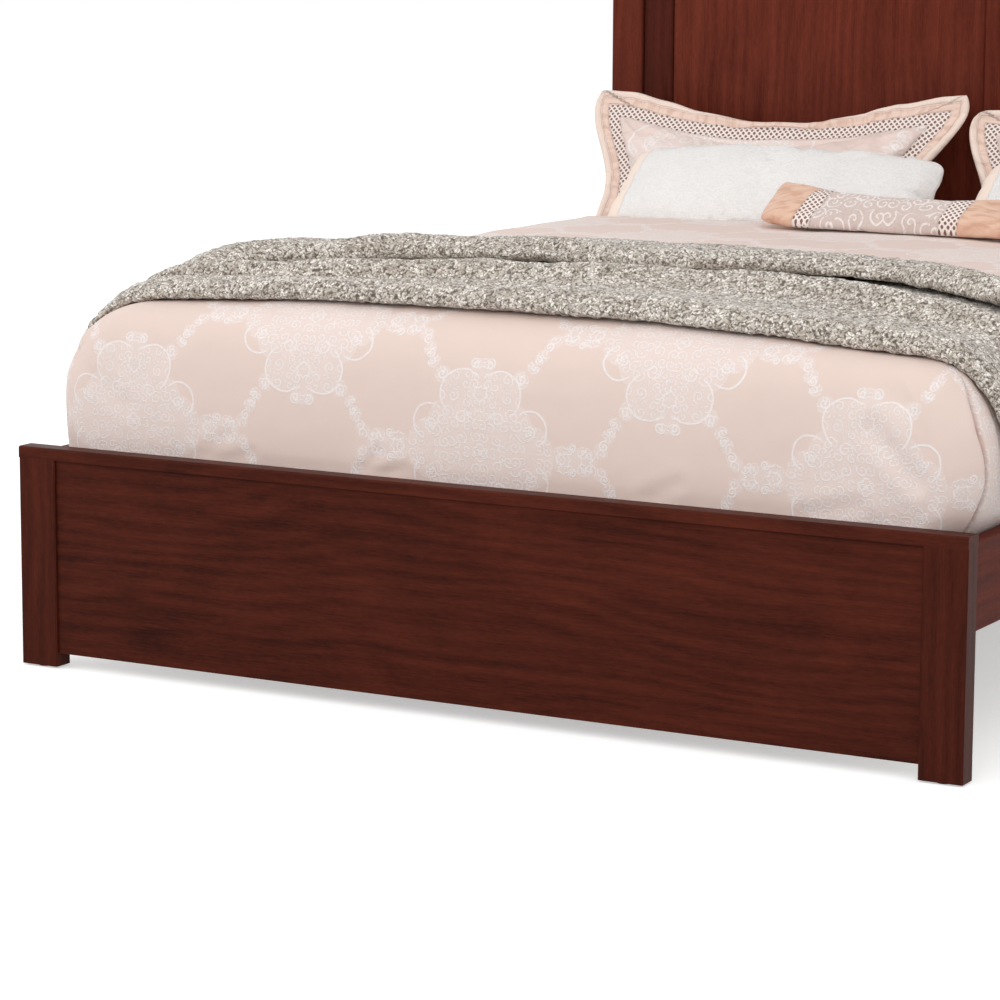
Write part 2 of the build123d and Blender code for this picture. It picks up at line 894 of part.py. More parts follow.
def along_outline(x, growth):
    """The comforter's outline along the bed at one place across it, grown outwards."""
    front = cover_hem_front - growth
    tuck = (front, cover_front_tuck)
    shoulder = (front + cover_front_belly, cover_front_shoulder_height)
    belly_rise = (cover_front_shoulder_height - cover_front_tuck) * front_belly_share
    top = (front + cover_front_shoulder, cover_front_top_height + growth)
    corner = (
        shoulder[0] + (top[0] - shoulder[0]) * across_share,
        shoulder[1] + (top[1] - shoulder[1]) * up_share,
    )
    head = cover_head + growth
    crown = cover_crown_height + growth
    head_corner = cover_head_edge * across_share
    with BuildSketch(Plane.YZ.offset(x)) as outline:
        with BuildLine():
            Polyline(
                (head, crown - cover_head_edge), (head, cover_hem_height), (front, cover_hem_height), tuck
            )
            ThreePointArc(tuck, (front - cover_front_belly, cover_front_tuck + belly_rise), shoulder)
            ThreePointArc(shoulder, corner, top)
            ThreePointArc(top, (interior_middle - cover_head_gap, crown), (head - cover_head_edge, crown))
            ThreePointArc(
                (head - cover_head_edge, crown),
                (head - head_corner, crown - head_corner),
                (head, crown - cover_head_edge),
            )
        make_face()
    return outline.sketch


def add_cover_form(growth):
    """The comforter's outer form, solid, in the part in hand."""
    reach = half_width + cut_overrun
    length = cover_head + growth - cover_front + cut_overrun
    extrude(across_outline(cover_head + growth, growth, growth), amount=length)
    extrude(along_outline(-reach, growth), amount=reach * 2, mode=Mode.INTERSECT)
    plan_half = cover_hem_side + cover_side_belly + growth
    plan_front = cover_front - growth
    plan_length = cover_head - plan_front + cover_plan_corner * 2
    with BuildSketch(Plane.XY.offset(cover_hem_height - cut_overrun)) as plan:
        with Locations((0, plan_front + plan_length / 2)):
            RectangleRounded(plan_half * 2, plan_length, cover_plan_corner)
    extrude(plan.sketch, amount=cover_crown_height, mode=Mode.INTERSECT)


with BuildPart() as mattress_room:
    with BuildSketch(Plane.XY.offset(cover_hem_height - cut_overrun)):
        with Locations((0, interior_middle)):
            RectangleRounded(
                cover_inner_side * 2,
                mattress_length + soft_gap * 2,
                mattress_corner + soft_gap,
            )
    extrude(amount=mattress_top + soft_gap - cover_hem_height + cut_overrun)
    fillet(mattress_room.faces().sort_by(Axis.Z)[-1].edges(), mattress_edge)

with BuildPart() as comforter:
    add_cover_form(0)
    add(mattress_room.part, mode=Mode.SUBTRACT)
keep(comforter, "comforter")

# Throw. Its folds run across the bed, so its sections change from valley to fold along the bed.

throw_front = cover_front + throw_front_setback
throw_back_left = throw_front + throw_length_left
throw_back_right = throw_front + throw_length_right
# Below the comforter's widest line the throw hangs straight down
throw_plumb_side = comforter.part.bounding_box().max.X + soft_gap * 2
throw_plumb_height = cover_crown_height - throw_plumb_drop

with BuildPart() as cover_clearance:
    add_cover_form(soft_gap)

with BuildPart() as throw:
    stations = spread(
        throw_fold_count * throw_steps_per_fold + 1,
        throw_front - cut_overrun,
        throw_back_right + cut_overrun,
    )
    sections = []
    for index, y in enumerate(stations):
        lifted = sin(pi * index / throw_steps_per_fold) ** 2
        side_growth = soft_gap + throw_thickness / 2 + throw_side_fold_height * lifted
        top_growth = soft_gap + throw_thickness + throw_fold_height * lifted
        sections.append(across_outline(y, side_growth, top_growth))
    loft(sections)
    add(cover_clearance.part, mode=Mode.SUBTRACT)
    with BuildSketch(Plane.XY):
        with BuildLine():
            Polyline(
                (-half_width, throw_front),
                (half_width, throw_front),
                (half_width, throw_back_right),
                (-half_width, throw_back_left),
                close=True,
            )
        throw_plan = make_face()
        fillet(throw_plan.vertices(), throw_corner)
    extrude(amount=headboard_height, mode=Mode.INTERSECT)
    throw_reach = (throw_front - cut_overrun, throw_back_right + cut_overrun)
    left_hem = cover_crown_height - throw_left_drop
    right_hem = cover_crown_height - throw_right_drop
    board((-bed_width, 0), throw_reach, (0, left_hem), Mode.SUBTRACT)
    board((0, bed_width), throw_reach, (0, right_hem), Mode.SUBTRACT)
    board((0, throw_plumb_side), throw_reach, (0, throw_plumb_height), Mode.SUBTRACT)
keep(throw, "throw")

# Pillows

def leaning(centre, foot, height, lean):
    """The plane of a leaning pillow: origin at the middle of its foot, Y up its face."""
    lean_angle = radians(lean)
    normal = (0, -sin(lean_angle), cos(lean_angle))
    return Plane(origin=(centre, foot, height), x_dir=(1, 0, 0), z_dir=normal)


def add_cushion(plane, width, height, thickness, drawn_in):
    """A stuffed cushion with a crowned front and back, lofted across its width."""
    half_seam = pillow_seam / 2
    sections = []
    for station, fullness in zip(station_shares, fullness_shares):
        swell = half_seam + (thickness / 2 - half_seam) * fullness
        inset = drawn_in * (1 - station * station)
        foot, top = inset / 2, height - inset
        belly = foot + (top - foot) * belly_share
        across = Plane(
            origin=plane.from_local_coords((station * width / 2, 0, 0)),
            x_dir=plane.y_dir,
            z_dir=plane.x_dir,
        )
        with BuildSketch(across) as section:
            with BuildLine():
                ThreePointArc((foot, half_seam), (belly, swell), (top, half_seam))
                Line((top, half_seam), (top, -half_seam))
                ThreePointArc((top, -half_seam), (belly, -swell), (foot, -half_seam))
                Line((foot, -half_seam), (foot, half_seam))
            make_face()
        sections.append(section.sketch)
    loft(sections)


def settle_on(height, depth):
    """Flatten the part in hand where it rests on a level surface at this height."""
    reach = bed_width
    board((-reach, reach), (-reach, reach), (height, height - depth), Mode.SUBTRACT)


def cushion_base(surface, thickness, lean):
    """Height of a leaning cushion's foot seam above the surface that it settles on."""
    return surface + thickness / 2 * cos(radians(lean)) * base_share


rest_height = mattress_top + soft_gap
sham_width = mattress_width / 2 + sham_overhang - sham_gap / 2

for side_name, side in sides.items():
    with BuildPart() as sham:
        sham_plane = leaning(
            side * (sham_width + sham_gap) / 2,
            head_front - sham_foot_gap,
            cushion_base(rest_height, sham_thickness, sham_lean),
            sham_lean,
        )
        stuffed_width = sham_width - sham_flange * 2
        stuffed_top = sham_height - sham_flange - sham_sag / 2
        add_cushion(sham_plane, stuffed_width, stuffed_top, sham_thickness, 0)
        half_top = sham_width / 2
        half_foot = half_top - sham_taper
        with BuildSketch(sham_plane):
            with BuildLine():
                Line((-half_foot, 0), (half_foot, 0))
                ThreePointArc(
                    (half_foot, 0),
                    (half_foot, sham_height / 2),
                    (half_top, sham_height),
                )
                ThreePointArc(
                    (half_top, sham_height),
                    (0, sham_height - sham_sag),
                    (-half_top, sham_height),
                )
                ThreePointArc(
                    (-half_top, sham_height),
                    (-half_foot, sham_height / 2),
                    (-half_foot, 0),
                )
            make_face()
        extrude(amount=pillow_seam / 2, both=True)
        settle_on(rest_height, sham_height)
    keep(sham, f"sham_{side_name}")

pillow_centres = {"left": pillow_left_centre, "right": pillow_right_centre}

for side_name, centre in pillow_centres.items():
    with BuildPart() as pillow:
        pillow_plane = leaning(
            centre,
            head_front - pillow_foot_gap,
            cushion_base(rest_height, pillow_thickness, pillow_lean),
            pillow_lean,
        )
        add_cushion(pillow_plane, pillow_width, pillow_height, pillow_thickness, pillow_drawn_in)
        settle_on(rest_height, pillow_height)
    keep(pillow, f"pillow_{side_name}")

with BuildPart() as lumbar_cushion:
    lumbar_plane = leaning(
        lumbar_centre,
        head_front - lumbar_foot_gap,
        cushion_base(cover_crown_height - lumbar_settling, lumbar_thickness, lumbar_lean),
        lumbar_lean,
    )
    add_cushion(lumbar_plane, lumbar_width, lumbar_height, lumbar_thickness, lumbar_drawn_in)
    settle_on(cover_crown_height + soft_gap, lumbar_height)
keep(lumbar_cushion, "lumbar_cushion")
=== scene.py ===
"""Looks of a dressed platform bed: a dark cherry frame, a mattress, a comforter, a throw and five pillows."""
import logging
import math
from dataclasses import dataclass, field
from enum import Enum
from functools import cached_property, reduce

import bmesh
import bpy
import numpy as np
from mathutils import Matrix, Vector, noise


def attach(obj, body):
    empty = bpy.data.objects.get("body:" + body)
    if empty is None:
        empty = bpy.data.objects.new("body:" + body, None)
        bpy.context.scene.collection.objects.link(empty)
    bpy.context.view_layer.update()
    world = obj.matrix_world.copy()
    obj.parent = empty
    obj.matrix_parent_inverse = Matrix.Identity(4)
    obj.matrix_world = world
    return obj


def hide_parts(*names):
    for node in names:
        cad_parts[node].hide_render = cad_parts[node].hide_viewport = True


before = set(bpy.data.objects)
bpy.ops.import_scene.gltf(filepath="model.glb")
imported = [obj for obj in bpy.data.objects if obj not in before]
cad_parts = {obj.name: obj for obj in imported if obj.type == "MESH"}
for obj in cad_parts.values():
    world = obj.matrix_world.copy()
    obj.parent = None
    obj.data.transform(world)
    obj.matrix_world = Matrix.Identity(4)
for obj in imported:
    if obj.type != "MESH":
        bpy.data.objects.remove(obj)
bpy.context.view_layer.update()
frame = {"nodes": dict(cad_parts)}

LOG = logging.getLogger("bed")
WHITE = (1.0, 1.0, 1.0, 1.0)
QUARTER = math.pi / 2

Colour = tuple[float, float, float, float]
Grid = np.ndarray
Material = bpy.types.Material
Node = bpy.types.Node
Piece = bpy.types.Object
Socket = bpy.types.NodeSocket
Tree = bpy.types.NodeTree
Triple = tuple[float, float, float]


def tone(red: int, green: int, blue: int) -> Colour:
    """A display colour from 0 to 255 as the linear colour that shaders use."""
    linear = [((c / 255 + 0.055) / 1.055) ** 2.4 if c > 10 else c / 255 / 12.92 for c in (red, green, blue)]
    return linear[0], linear[1], linear[2], 1.0


class GrainWay(Enum):
    """Which way the grain runs, as the turn that lays it along local X."""

    ACROSS = (0.0, 0.0, 0.0)
    LENGTHWISE = (0.0, 0.0, -QUARTER)
    UPRIGHT = (0.0, QUARTER, 0.0)


class Wire:
    """A shader output on which plain arithmetic works: each sign adds one Math node."""

    def __init__(self, sketch: "NodeSketch", socket: Socket) -> None:
        """Take the sketch it is drawn in and its socket."""
        self.sketch, self.socket = sketch, socket

    def __add__(self, other: object) -> "Wire":
        """The sum."""
        return self.sketch.math("ADD", self, other)

    def __sub__(self, other: object) -> "Wire":
        """The difference."""
        return self.sketch.math("SUBTRACT", self, other)

    def __rsub__(self, other: object) -> "Wire":
        """The difference from a number."""
        return self.sketch.math("SUBTRACT", other, self)

    def __mul__(self, other: object) -> "Wire":
        """The product."""
        return self.sketch.math("MULTIPLY", self, other)

    def __truediv__(self, other: object) -> "Wire":
        """The quotient."""
        return self.sketch.math("DIVIDE", self, other)


class NodeSketch:
    """Adds nodes to one shader tree and joins them up."""

    def __init__(self, tree: Tree) -> None:
        """Take the tree to draw in."""
        self.tree = tree

    def node(self, kind: str, inputs: dict | None = None, **settings: object) -> Node:
        """Add a node.

        Args:
            kind: the node's type name, without ShaderNode.
            inputs: value, wire or socket for each input, by name or number.
            settings: properties of the node.

        Returns:
            The new node.
        """
        made = self.tree.nodes.new(f"ShaderNode{kind}")
        for name, value in settings.items():
            setattr(made, name, value)
        self.fill(made, inputs or {})
        return made

    def fill(self, node: Node, inputs: dict) -> None:
        """Link wires and sockets to a node's inputs, and set plain values directly on them."""
        for key, value in inputs.items():
            if isinstance(value, (Wire, bpy.types.NodeSocket)):
                self.tree.links.new(getattr(value, "socket", value), node.inputs[key])
            elif value is not None:
                node.inputs[key].default_value = value

    def wire(self, node: Node, output: int | str = 0) -> Wire:
        """One output of a node as a wire."""
        return Wire(self, node.outputs[output])

    def surface(self, looks: dict[str, object]) -> None:
        """Give the material's Principled node its inputs."""
        self.fill(self.tree.nodes["Principled BSDF"], looks)

    def math(self, operation: str, *values: object, clamp: bool = False) -> Wire:
        """The result of one Math node."""
        return self.wire(self.node("Math", dict(enumerate(values)), operation=operation, use_clamp=clamp))

    def chain(self, operation: str, values: object) -> Wire:
        """Values joined one after another by the same Math operation."""
        return reduce(lambda first, second: self.math(operation, first, second), values)

    def vector(self, operation: str, *values: object) -> Wire:
        """The result of one Vector Math node; lengths and products give a number."""
        made = self.node("VectorMath", dict(enumerate(values)), operation=operation)
        return self.wire(made, "Value" if operation in ("LENGTH", "DISTANCE", "DOT_PRODUCT") else "Vector")

    def split(self, position: Wire) -> tuple[Wire, Wire, Wire]:
        """The three parts of a position."""
        made = self.node("SeparateXYZ", {0: position})
        return self.wire(made, 0), self.wire(made, 1), self.wire(made, 2)

    def join(self, x: object, y: object, z: object = 0.0) -> Wire:
        """A position from its parts."""
        return self.wire(self.node("CombineXYZ", {0: x, 1: y, 2: z}))

    def blend(self, factor: object, low: object, high: object) -> Wire:
        """Two colours mixed by a factor."""
        return self.wire(self.node("Mix", {0: factor, 6: low, 7: high}, data_type="RGBA"), 2)

    def tinted(self, colour: Wire, factor: Wire) -> Wire:
        """A colour made lighter or darker."""
        return self.vector("MULTIPLY", colour, self.join(factor, factor, factor))

    def ease(self, value: Wire, low: float, high: float) -> Wire:
        """A smooth step: 0 at low, 1 at high."""
        return self.wire(self.node("MapRange", {0: value, 1: low, 2: high}, interpolation_type="SMOOTHSTEP"))

    def line(self, distance: Wire, width: float, soft: float = 0.0006) -> Wire:
        """A drawn line: 1 where a distance is under half the width."""
        return self.ease(self.math("ABSOLUTE", distance) - width / 2, soft, -soft)

    def noise(self, place: Wire, scale: float | Triple, detail: float = 3.0, twist: float = 0.0) -> Wire:
        """A smooth noise from 0 to 1, stretched where three scales are given."""
        if isinstance(scale, tuple):
            place, scale = self.vector("MULTIPLY", place, scale), 1.0
        inputs = {"Vector": place, "Scale": scale, "Detail": detail, "Distortion": twist}
        return self.wire(self.node("TexNoise", inputs))

    def stirred(self, place: Wire, scale: float, detail: float, reach: Triple) -> Wire:
        """A position pushed about by a noise, at most this far each way."""
        push = self.wire(self.node("TexNoise", {"Vector": place, "Scale": scale, "Detail": detail}), 1)
        return self.vector("ADD", place, self.vector("MULTIPLY", push, reach))

    def cells(self, place: Wire, scale: float, loose: float = 1.0) -> tuple[Wire, Wire, Wire]:
        """A cell pattern: the distance to the nearest middle, that cell's own colour and its middle."""
        made = self.node("TexVoronoi", {"Vector": place, "Scale": scale, "Randomness": loose})
        return self.wire(made, "Distance"), self.wire(made, "Color"), self.wire(made, "Position")

    def bump(self, height: Wire, depth: float, below: Wire | None = None) -> Wire:
        """A normal from a height of 0 to 1 that stands this many metres deep, over another normal if given."""
        return self.wire(self.node("Bump", {"Height": height, "Distance": depth, "Strength": 1.0, "Normal": below}))

    def use(self, group: Tree, **inputs: object) -> dict[str, Wire]:
        """The outputs of a shared group that is given its own values."""
        made = self.node("Group", inputs, node_tree=group)
        return {output.name: Wire(self, output) for output in made.outputs}

    def place(self) -> Wire:
        """The position in the bed's own frame, in metres."""
        return self.wire(self.node("TexCoord"), "Object")

    def cloth(self, layer: str = "cloth") -> Wire:
        """The flat cloth position, in metres, of a named layer."""
        return self.wire(self.node("UVMap", uv_map=layer))

    def seen(self) -> Wire:
        """1 for what the camera sees, directly or mirrored."""
        path = self.node("LightPath")
        return self.math("MAXIMUM", self.wire(path, "Is Camera Ray"), self.wire(path, "Is Glossy Ray"))


class EffectGroup:
    """A shader effect that several finishes share, as a node group with named inputs and outputs."""

    def __init__(self, name: str, **inputs: object) -> None:
        """Make the group and its inputs.

        Args:
            name: the group's name.
            inputs: each input's default: none for a position, four numbers for a colour, or one number.
        """
        self.tree = bpy.data.node_groups.new(name, "ShaderNodeTree")
        for label, default in inputs.items():
            kind = "Vector" if default is None else "Color" if isinstance(default, tuple) else "Float"
            made = self.tree.interface.new_socket(name=label, in_out="INPUT", socket_type=f"NodeSocket{kind}")
            if default is not None:
                made.default_value = default
        self.sketch = NodeSketch(self.tree)
        entry = self.tree.nodes.new("NodeGroupInput")
        self.given = {label: Wire(self.sketch, entry.outputs[label]) for label in inputs}

    def put(self, **results: Wire) -> Tree:
        """Add the outputs, join the results to them and return the finished group."""
        for label in results:
            kind = "Color" if label == "Color" else "Float"
            self.tree.interface.new_socket(name=label, in_out="OUTPUT", socket_type=f"NodeSocket{kind}")
        self.sketch.fill(self.tree.nodes.new("NodeGroupOutput"), results)
        return self.tree


def wood_figure() -> Tree:
    """Grain streaks, mottled figure, growth lines and open pores, for wood with its grain along X."""
    group = EffectGroup("WoodFigure", Position=None, Dark=(0.0, 0.0, 0.0, 1.0), Light=WHITE, Figure=1.0)
    s, given = group.sketch, group.given
    place = given["Position"]
    streak = s.noise(place, (1.3, 46.0, 46.0), 5.0, 0.3)
    pore = s.noise(place, (16.0, 620.0, 620.0), 2.0)
    mottle = s.noise(place, (4.2, 9.0, 9.0), 4.0, 1.4)
    broad = s.noise(place, (1.1, 2.6, 2.6), 2.0, 0.6)
    bend = s.noise(place, (1.7, 5.0, 5.0), 2.0)
    fleck = s.noise(place, (70.0, 260.0, 260.0), 2.0)
    _, y, z = s.split(place)
    lines = s.math("SINE", (y + z + bend * 0.16) * 240.0)
    eye = s.ease(s.cells(s.vector("MULTIPLY", place, (1.9, 4.4, 4.4)), 1.0)[0], 0.16, 0.0)
    mixed = streak * 0.40 + mottle * 0.30 + broad * 0.16 + lines * 0.045 + pore * 0.30 + fleck * 0.24 - eye * 0.22
    amount = s.math("MULTIPLY_ADD", (mixed - 0.70) * given["Figure"], 2.1, 0.5, clamp=True)
    return group.put(
        Color=s.blend(amount, given["Dark"], given["Light"]),
        Height=pore * 0.7 + streak * 0.3,
        Gloss=(mottle - 0.5) * 0.16,
    )


def woven_threads() -> Tree:
    """A plain weave of threads, as a height from 0 to 1, on a flat cloth position in metres."""
    group = EffectGroup("WovenThreads", Cloth=None, Pitch=0.002, Slubs=0.3)
    s, (cloth, pitch, slubs) = group.sketch, group.given.values()
    drift = s.noise(cloth, 60.0, 2.0) * 0.6
    turns = [(way / pitch + drift) * math.pi for way in s.split(cloth)[:2]]
    warp, weft = (s.math("ABSOLUTE", s.math("SINE", turn)) for turn in turns)
    over = s.ease(s.math("COSINE", turns[0]) * s.math("COSINE", turns[1]), -0.3, 0.3)
    slub = s.ease(s.noise(cloth, (90.0, 420.0, 90.0), 2.0), 0.52, 0.8)
    return group.put(Height=warp * over + weft * (1.0 - over) + slub * slubs, Slub=slub)


def cloth_shade() -> Tree:
    """Slow patches of lighter and darker cloth, from -1 to 1, as worn and washed cotton has."""
    group = EffectGroup("ClothShade", Position=None)
    s, place = group.sketch, group.given["Position"]
    return group.put(Shade=(s.noise(place, 24.0, 3.0) * 0.4 + s.noise(place, 3.0, 2.0, 0.5) * 0.6) * 2.0 - 1.0)


def net_lace() -> Tree:
    """A knotted net with slanted square holes; 1 in the holes."""
    group = EffectGroup("NetLace", Cloth=None, Pitch=0.01)
    s, (cloth, pitch) = group.sketch, group.given.values()
    x, y, _ = s.split(cloth)
    near = [s.math("ABSOLUTE", s.math("FRACT", way / pitch) - 0.5) for way in (x + y, x - y)]
    edge = s.vector("LENGTH", s.join(*near)) * 0.5 + s.math("MAXIMUM", *near) * 0.5
    return group.put(Hole=s.ease(edge, 0.34, 0.27))


@dataclass(frozen=True)
class Curl:
    """One scroll of the damask: where its middle is, how big it is and which way it turns."""

    x: float
    y: float
    radius: float
    turns: float
    start: float = 0.0


@dataclass(frozen=True)
class Damask:
    """A traditional half-drop damask: medallions of fine scrolls, arches at their shoulders, and rosettes."""

    half_width: float = 0.32
    half_drop: float = 0.197
    stroke: float = 0.0026
    scroll_pitch: float = 0.0185
    scroll_gap: float = 0.0066
    haze: float = 0.26
    petals: float = 6.0
    curl_gap: float = 0.56
    lobes: tuple[Triple, ...] = (
        (0.000, 0.000, 0.068), (0.000, 0.072, 0.046), (0.048, 0.040, 0.044), (0.088, 0.010, 0.038),
        (0.038, 0.094, 0.032), (0.000, 0.126, 0.020), (0.146, 0.000, 0.023), (0.180, 0.002, 0.021),
        (0.208, 0.018, 0.012), (0.222, 0.042, 0.011), (0.068, 0.116, 0.014), (0.088, 0.137, 0.011),
    )
    arches: tuple[Triple, ...] = ((0.089, 0.042, 0.028), (0.034, 0.090, 0.037))
    rosettes: tuple[Triple, ...] = (
        (0.146, 0.000, 0.0120), (0.184, 0.006, 0.0110), (0.000, 0.092, 0.0130), (0.000, 0.000, 0.0140),
    )
    curls: tuple[Curl, ...] = (
        Curl(0.086, 0.038, 0.012, 1.0, 0.0), Curl(0.032, 0.052, 0.014, -1.0, 0.4),
        Curl(0.013, 0.136, 0.010, -1.0, 0.2), Curl(0.214, 0.026, 0.009, 1.0, 0.7),
        Curl(0.226, 0.048, 0.008, -1.0, 0.2), Curl(0.070, 0.118, 0.010, 1.0, 0.5),
        Curl(0.090, 0.138, 0.008, -1.0, 0.9), Curl(0.160, 0.020, 0.008, 1.0, 0.3),
    )

    def group(self) -> Tree:
        """The damask as a shader group.

        Returns:
            A group that turns a flat cloth position in metres into the figure's mask.
        """
        made = EffectGroup("DamaskFigure", Cloth=None)
        s, given = made.sketch, made.given["Cloth"]
        quarter = self._fold(s, s.stirred(given, 26.0, 1.0, (0.006, 0.006, 0.0)))
        lobes = (s.vector("DISTANCE", quarter, (x, y, 0.0)) - radius for x, y, radius in self.lobes)
        region = s.ease(s.chain("MINIMUM", lobes), 0.002, -0.002)
        petals = s.chain("MINIMUM", (self._rosette(s, quarter, *each) for each in enumerate(self.rosettes)))
        figure = s.chain("MAXIMUM", [
            region * s.math("MAXIMUM", self._scrolls(s, quarter), self.haze),
            s.line(petals, self.stroke),
            s.ease(petals, -0.0082, -0.0090),
            *(self._arch(s, quarter, arch) for arch in self.arches),
            *(self._curl(s, quarter, curl) for curl in self.curls),
        ])
        return made.put(Figure=figure * s.ease(s.noise(given, 380.0, 2.0), 0.20, 0.52))

    def _fold(self, s: NodeSketch, cloth: Wire) -> Wire:
        """Mirror the cloth into the quarter of the nearest medallion."""
        x, y, _ = s.split(cloth)
        fold_x, fold_y = s.math("PINGPONG", x, self.half_width), s.math("PINGPONG", y, self.half_drop)
        other = s.math("GREATER_THAN", fold_x / self.half_width + fold_y / self.half_drop, 1.0)
        keep = 1.0 - other
        near_x = fold_x * keep + (self.half_width - fold_x) * other
        return s.join(near_x, fold_y * keep + (self.half_drop - fold_y) * other)

    def _rosette(self, s: NodeSketch, place: Wire, number: int, rosette: Triple) -> Wire:
        """Signed distance to the edge of a petalled rosette, each turned a little further."""
        x, y, radius = rosette
        around, away = self._polar(s, place, (x, y, 0.0))
        petal = s.math("COSINE", around * (self.petals * 2 * math.pi) + number * 1.3)
        return away - (petal * (radius * 0.12) + radius * 0.84)

    def _arch(self, s: NodeSketch, place: Wire, arch: Triple) -> Wire:
        """A round arch, drawn on the side that looks away from the medallion's middle."""
        x, y, radius = arch
        local = s.vector("SUBTRACT", place, (x, y, 0.0))
        outward = s.ease(s.vector("DOT_PRODUCT", local, (0.8, 0.6, 0.0)), -0.3 * radius, 0.1 * radius)
        return s.line(s.vector("LENGTH", local) - radius, self.stroke * 1.2) * outward

    def _polar(self, s: NodeSketch, place: Wire, middle: object) -> tuple[Wire, Wire]:
        """The turn around a middle, as a share of a full turn, and the distance from it."""
        x, y, _ = s.split(s.vector("SUBTRACT", place, middle))
        return s.math("ARCTAN2", y, x) / (2 * math.pi), s.vector("LENGTH", s.join(x, y))

    def _curl(self, s: NodeSketch, place: Wire, curl: Curl) -> Wire:
        """One spiral stroke."""
        pitch = curl.radius * self.curl_gap
        around, radius = self._polar(s, place, (curl.x, curl.y, 0.0))
        turn = s.math("FRACT", radius / pitch + (around * curl.turns + curl.start))
        return s.line((turn - 0.5) * pitch, self.stroke) * s.ease(radius, curl.radius, curl.radius * 0.92)

    def _scrolls(self, s: NodeSketch, place: Wire) -> Wire:
        """Loose small curls that fill a medallion, each with its own turn and start."""
        _, colour, middle = s.cells(place, 1 / self.scroll_pitch, 0.8)
        around, radius = self._polar(s, place, middle)
        way, start, _ = s.split(colour)
        wound = around * s.math("SIGN", way - 0.5) + start * 5.0
        turn = s.math("FRACT", radius / self.scroll_gap + wound)
        stroke = s.line((turn - 0.5) * self.scroll_gap, self.stroke * 0.8, 0.0005)
        return stroke * s.ease(radius, self.scroll_pitch * 0.60, self.scroll_pitch * 0.52)


@dataclass
class Effects:
    """The shared shader groups, built once."""

    wood: Tree = field(default_factory=wood_figure)
    weave: Tree = field(default_factory=woven_threads)
    shade: Tree = field(default_factory=cloth_shade)
    lace: Tree = field(default_factory=net_lace)
    damask: Tree = field(default_factory=lambda: Damask().group())


EFFECTS = Effects()


@dataclass(frozen=True)
class Finish:
    """A finish of the bed, as one material."""

    name: str

    def build(self) -> Material:
        """The finish as a material."""
        material = bpy.data.materials.new(self.name)
        material.use_nodes = True
        self.paint(NodeSketch(material.node_tree))
        return material

    def paint(self, s: NodeSketch) -> None:
        """Draw the material's nodes; each finish has its own way."""
        raise NotImplementedError


@dataclass(frozen=True)
class WoodFinish(Finish):
    """Wood with its grain one way: lacquered cherry veneer, or bare planed softwood."""

    way: GrainWay
    dark: Colour
    light: Colour
    figure: float = 1.0
    roughness: float = 0.40
    pore_depth: float = 0.0001
    shine: float = 0.05

    def paint(self, s: NodeSketch) -> None:
        """Lay the shared wood figure along the grain."""
        turned = s.wire(s.node("Mapping", {"Vector": s.place(), "Rotation": self.way.value}))
        wood = s.use(EFFECTS.wood, Position=turned, Dark=self.dark, Light=self.light, Figure=self.figure)
        s.surface({
            "Base Color": wood["Color"],
            "Roughness": wood["Gloss"] + self.roughness,
            "Specular IOR Level": self.shine,
            "Normal": s.bump(wood["Height"], self.pore_depth),
        })


@dataclass(frozen=True)
class MetalFinish(Finish):
    """Zinc-plated steel with a faint crystalline mottle."""

    name: str = "zinc_steel"
    light: Colour = tone(196, 198, 196)
    dark: Colour = tone(160, 162, 162)

    def paint(self, s: NodeSketch) -> None:
        """Draw the crystals and a fine roughness."""
        flakes = s.cells(s.place(), 260.0)[0]
        s.surface({
            "Base Color": s.blend(flakes, self.dark, self.light),
            "Roughness": flakes * 0.2 + 0.28,
            "Metallic": 1.0,
            "Normal": s.bump(s.noise(s.place(), 900.0), 0.00005),
        })


@dataclass(frozen=True)
class PlasticFinish(Finish):
    """Moulded black plastic with a fine grained surface."""

    name: str = "black_plastic"
    dark: Colour = tone(22, 22, 23)
    light: Colour = tone(38, 38, 40)

    def paint(self, s: NodeSketch) -> None:
        """Draw the moulded grain."""
        grain = s.noise(s.place(), 1400.0, 2.0)
        s.surface({
            "Base Color": s.blend(grain, self.dark, self.light),
            "Roughness": grain * 0.2 + 0.42,
            "Normal": s.bump(grain, 0.0001),
        })


@dataclass(frozen=True)
class DamaskFinish(Finish):
    """Satin cotton with a paler woven damask."""

    ground: Colour = tone(229, 207, 197)
    figure: Colour = tone(243, 235, 233)
    shift: tuple[float, float] = (0.0, 0.0)
    shade: float = 0.05

    def colour(self, s: NodeSketch, scale: float = 1.0) -> tuple[Wire, Wire]:
        """Draw the damask.

        Args:
            s: the sketch of the material it goes in.
            scale: how many times larger than on the comforter the figure is.

        Returns:
            The colour, and the height of its weave and figure.
        """
        cloth = s.vector("ADD", s.cloth(), (*self.shift, 0.0))
        drawn = s.vector("MULTIPLY", cloth, (1 / scale, 1 / scale, 1.0))
        figure = s.use(EFFECTS.damask, Cloth=drawn)["Figure"]
        weave = s.use(EFFECTS.weave, Cloth=cloth, Pitch=0.0011, Slubs=0.1)["Height"]
        patch = s.use(EFFECTS.shade, Position=s.place())["Shade"]
        plain = s.blend(figure, self.ground, self.figure)
        return s.tinted(plain, patch * self.shade + 1.0), figure * 0.8 + weave * 0.25

    def paint(self, s: NodeSketch) -> None:
        """Lay the damask over a satin ground."""
        colour, height = self.colour(s)
        s.surface({
            "Base Color": colour, "Roughness": 0.62, "Sheen Weight": 0.12, "Sheen Roughness": 0.4,
            "Normal": s.bump(height, 0.0006),
        })


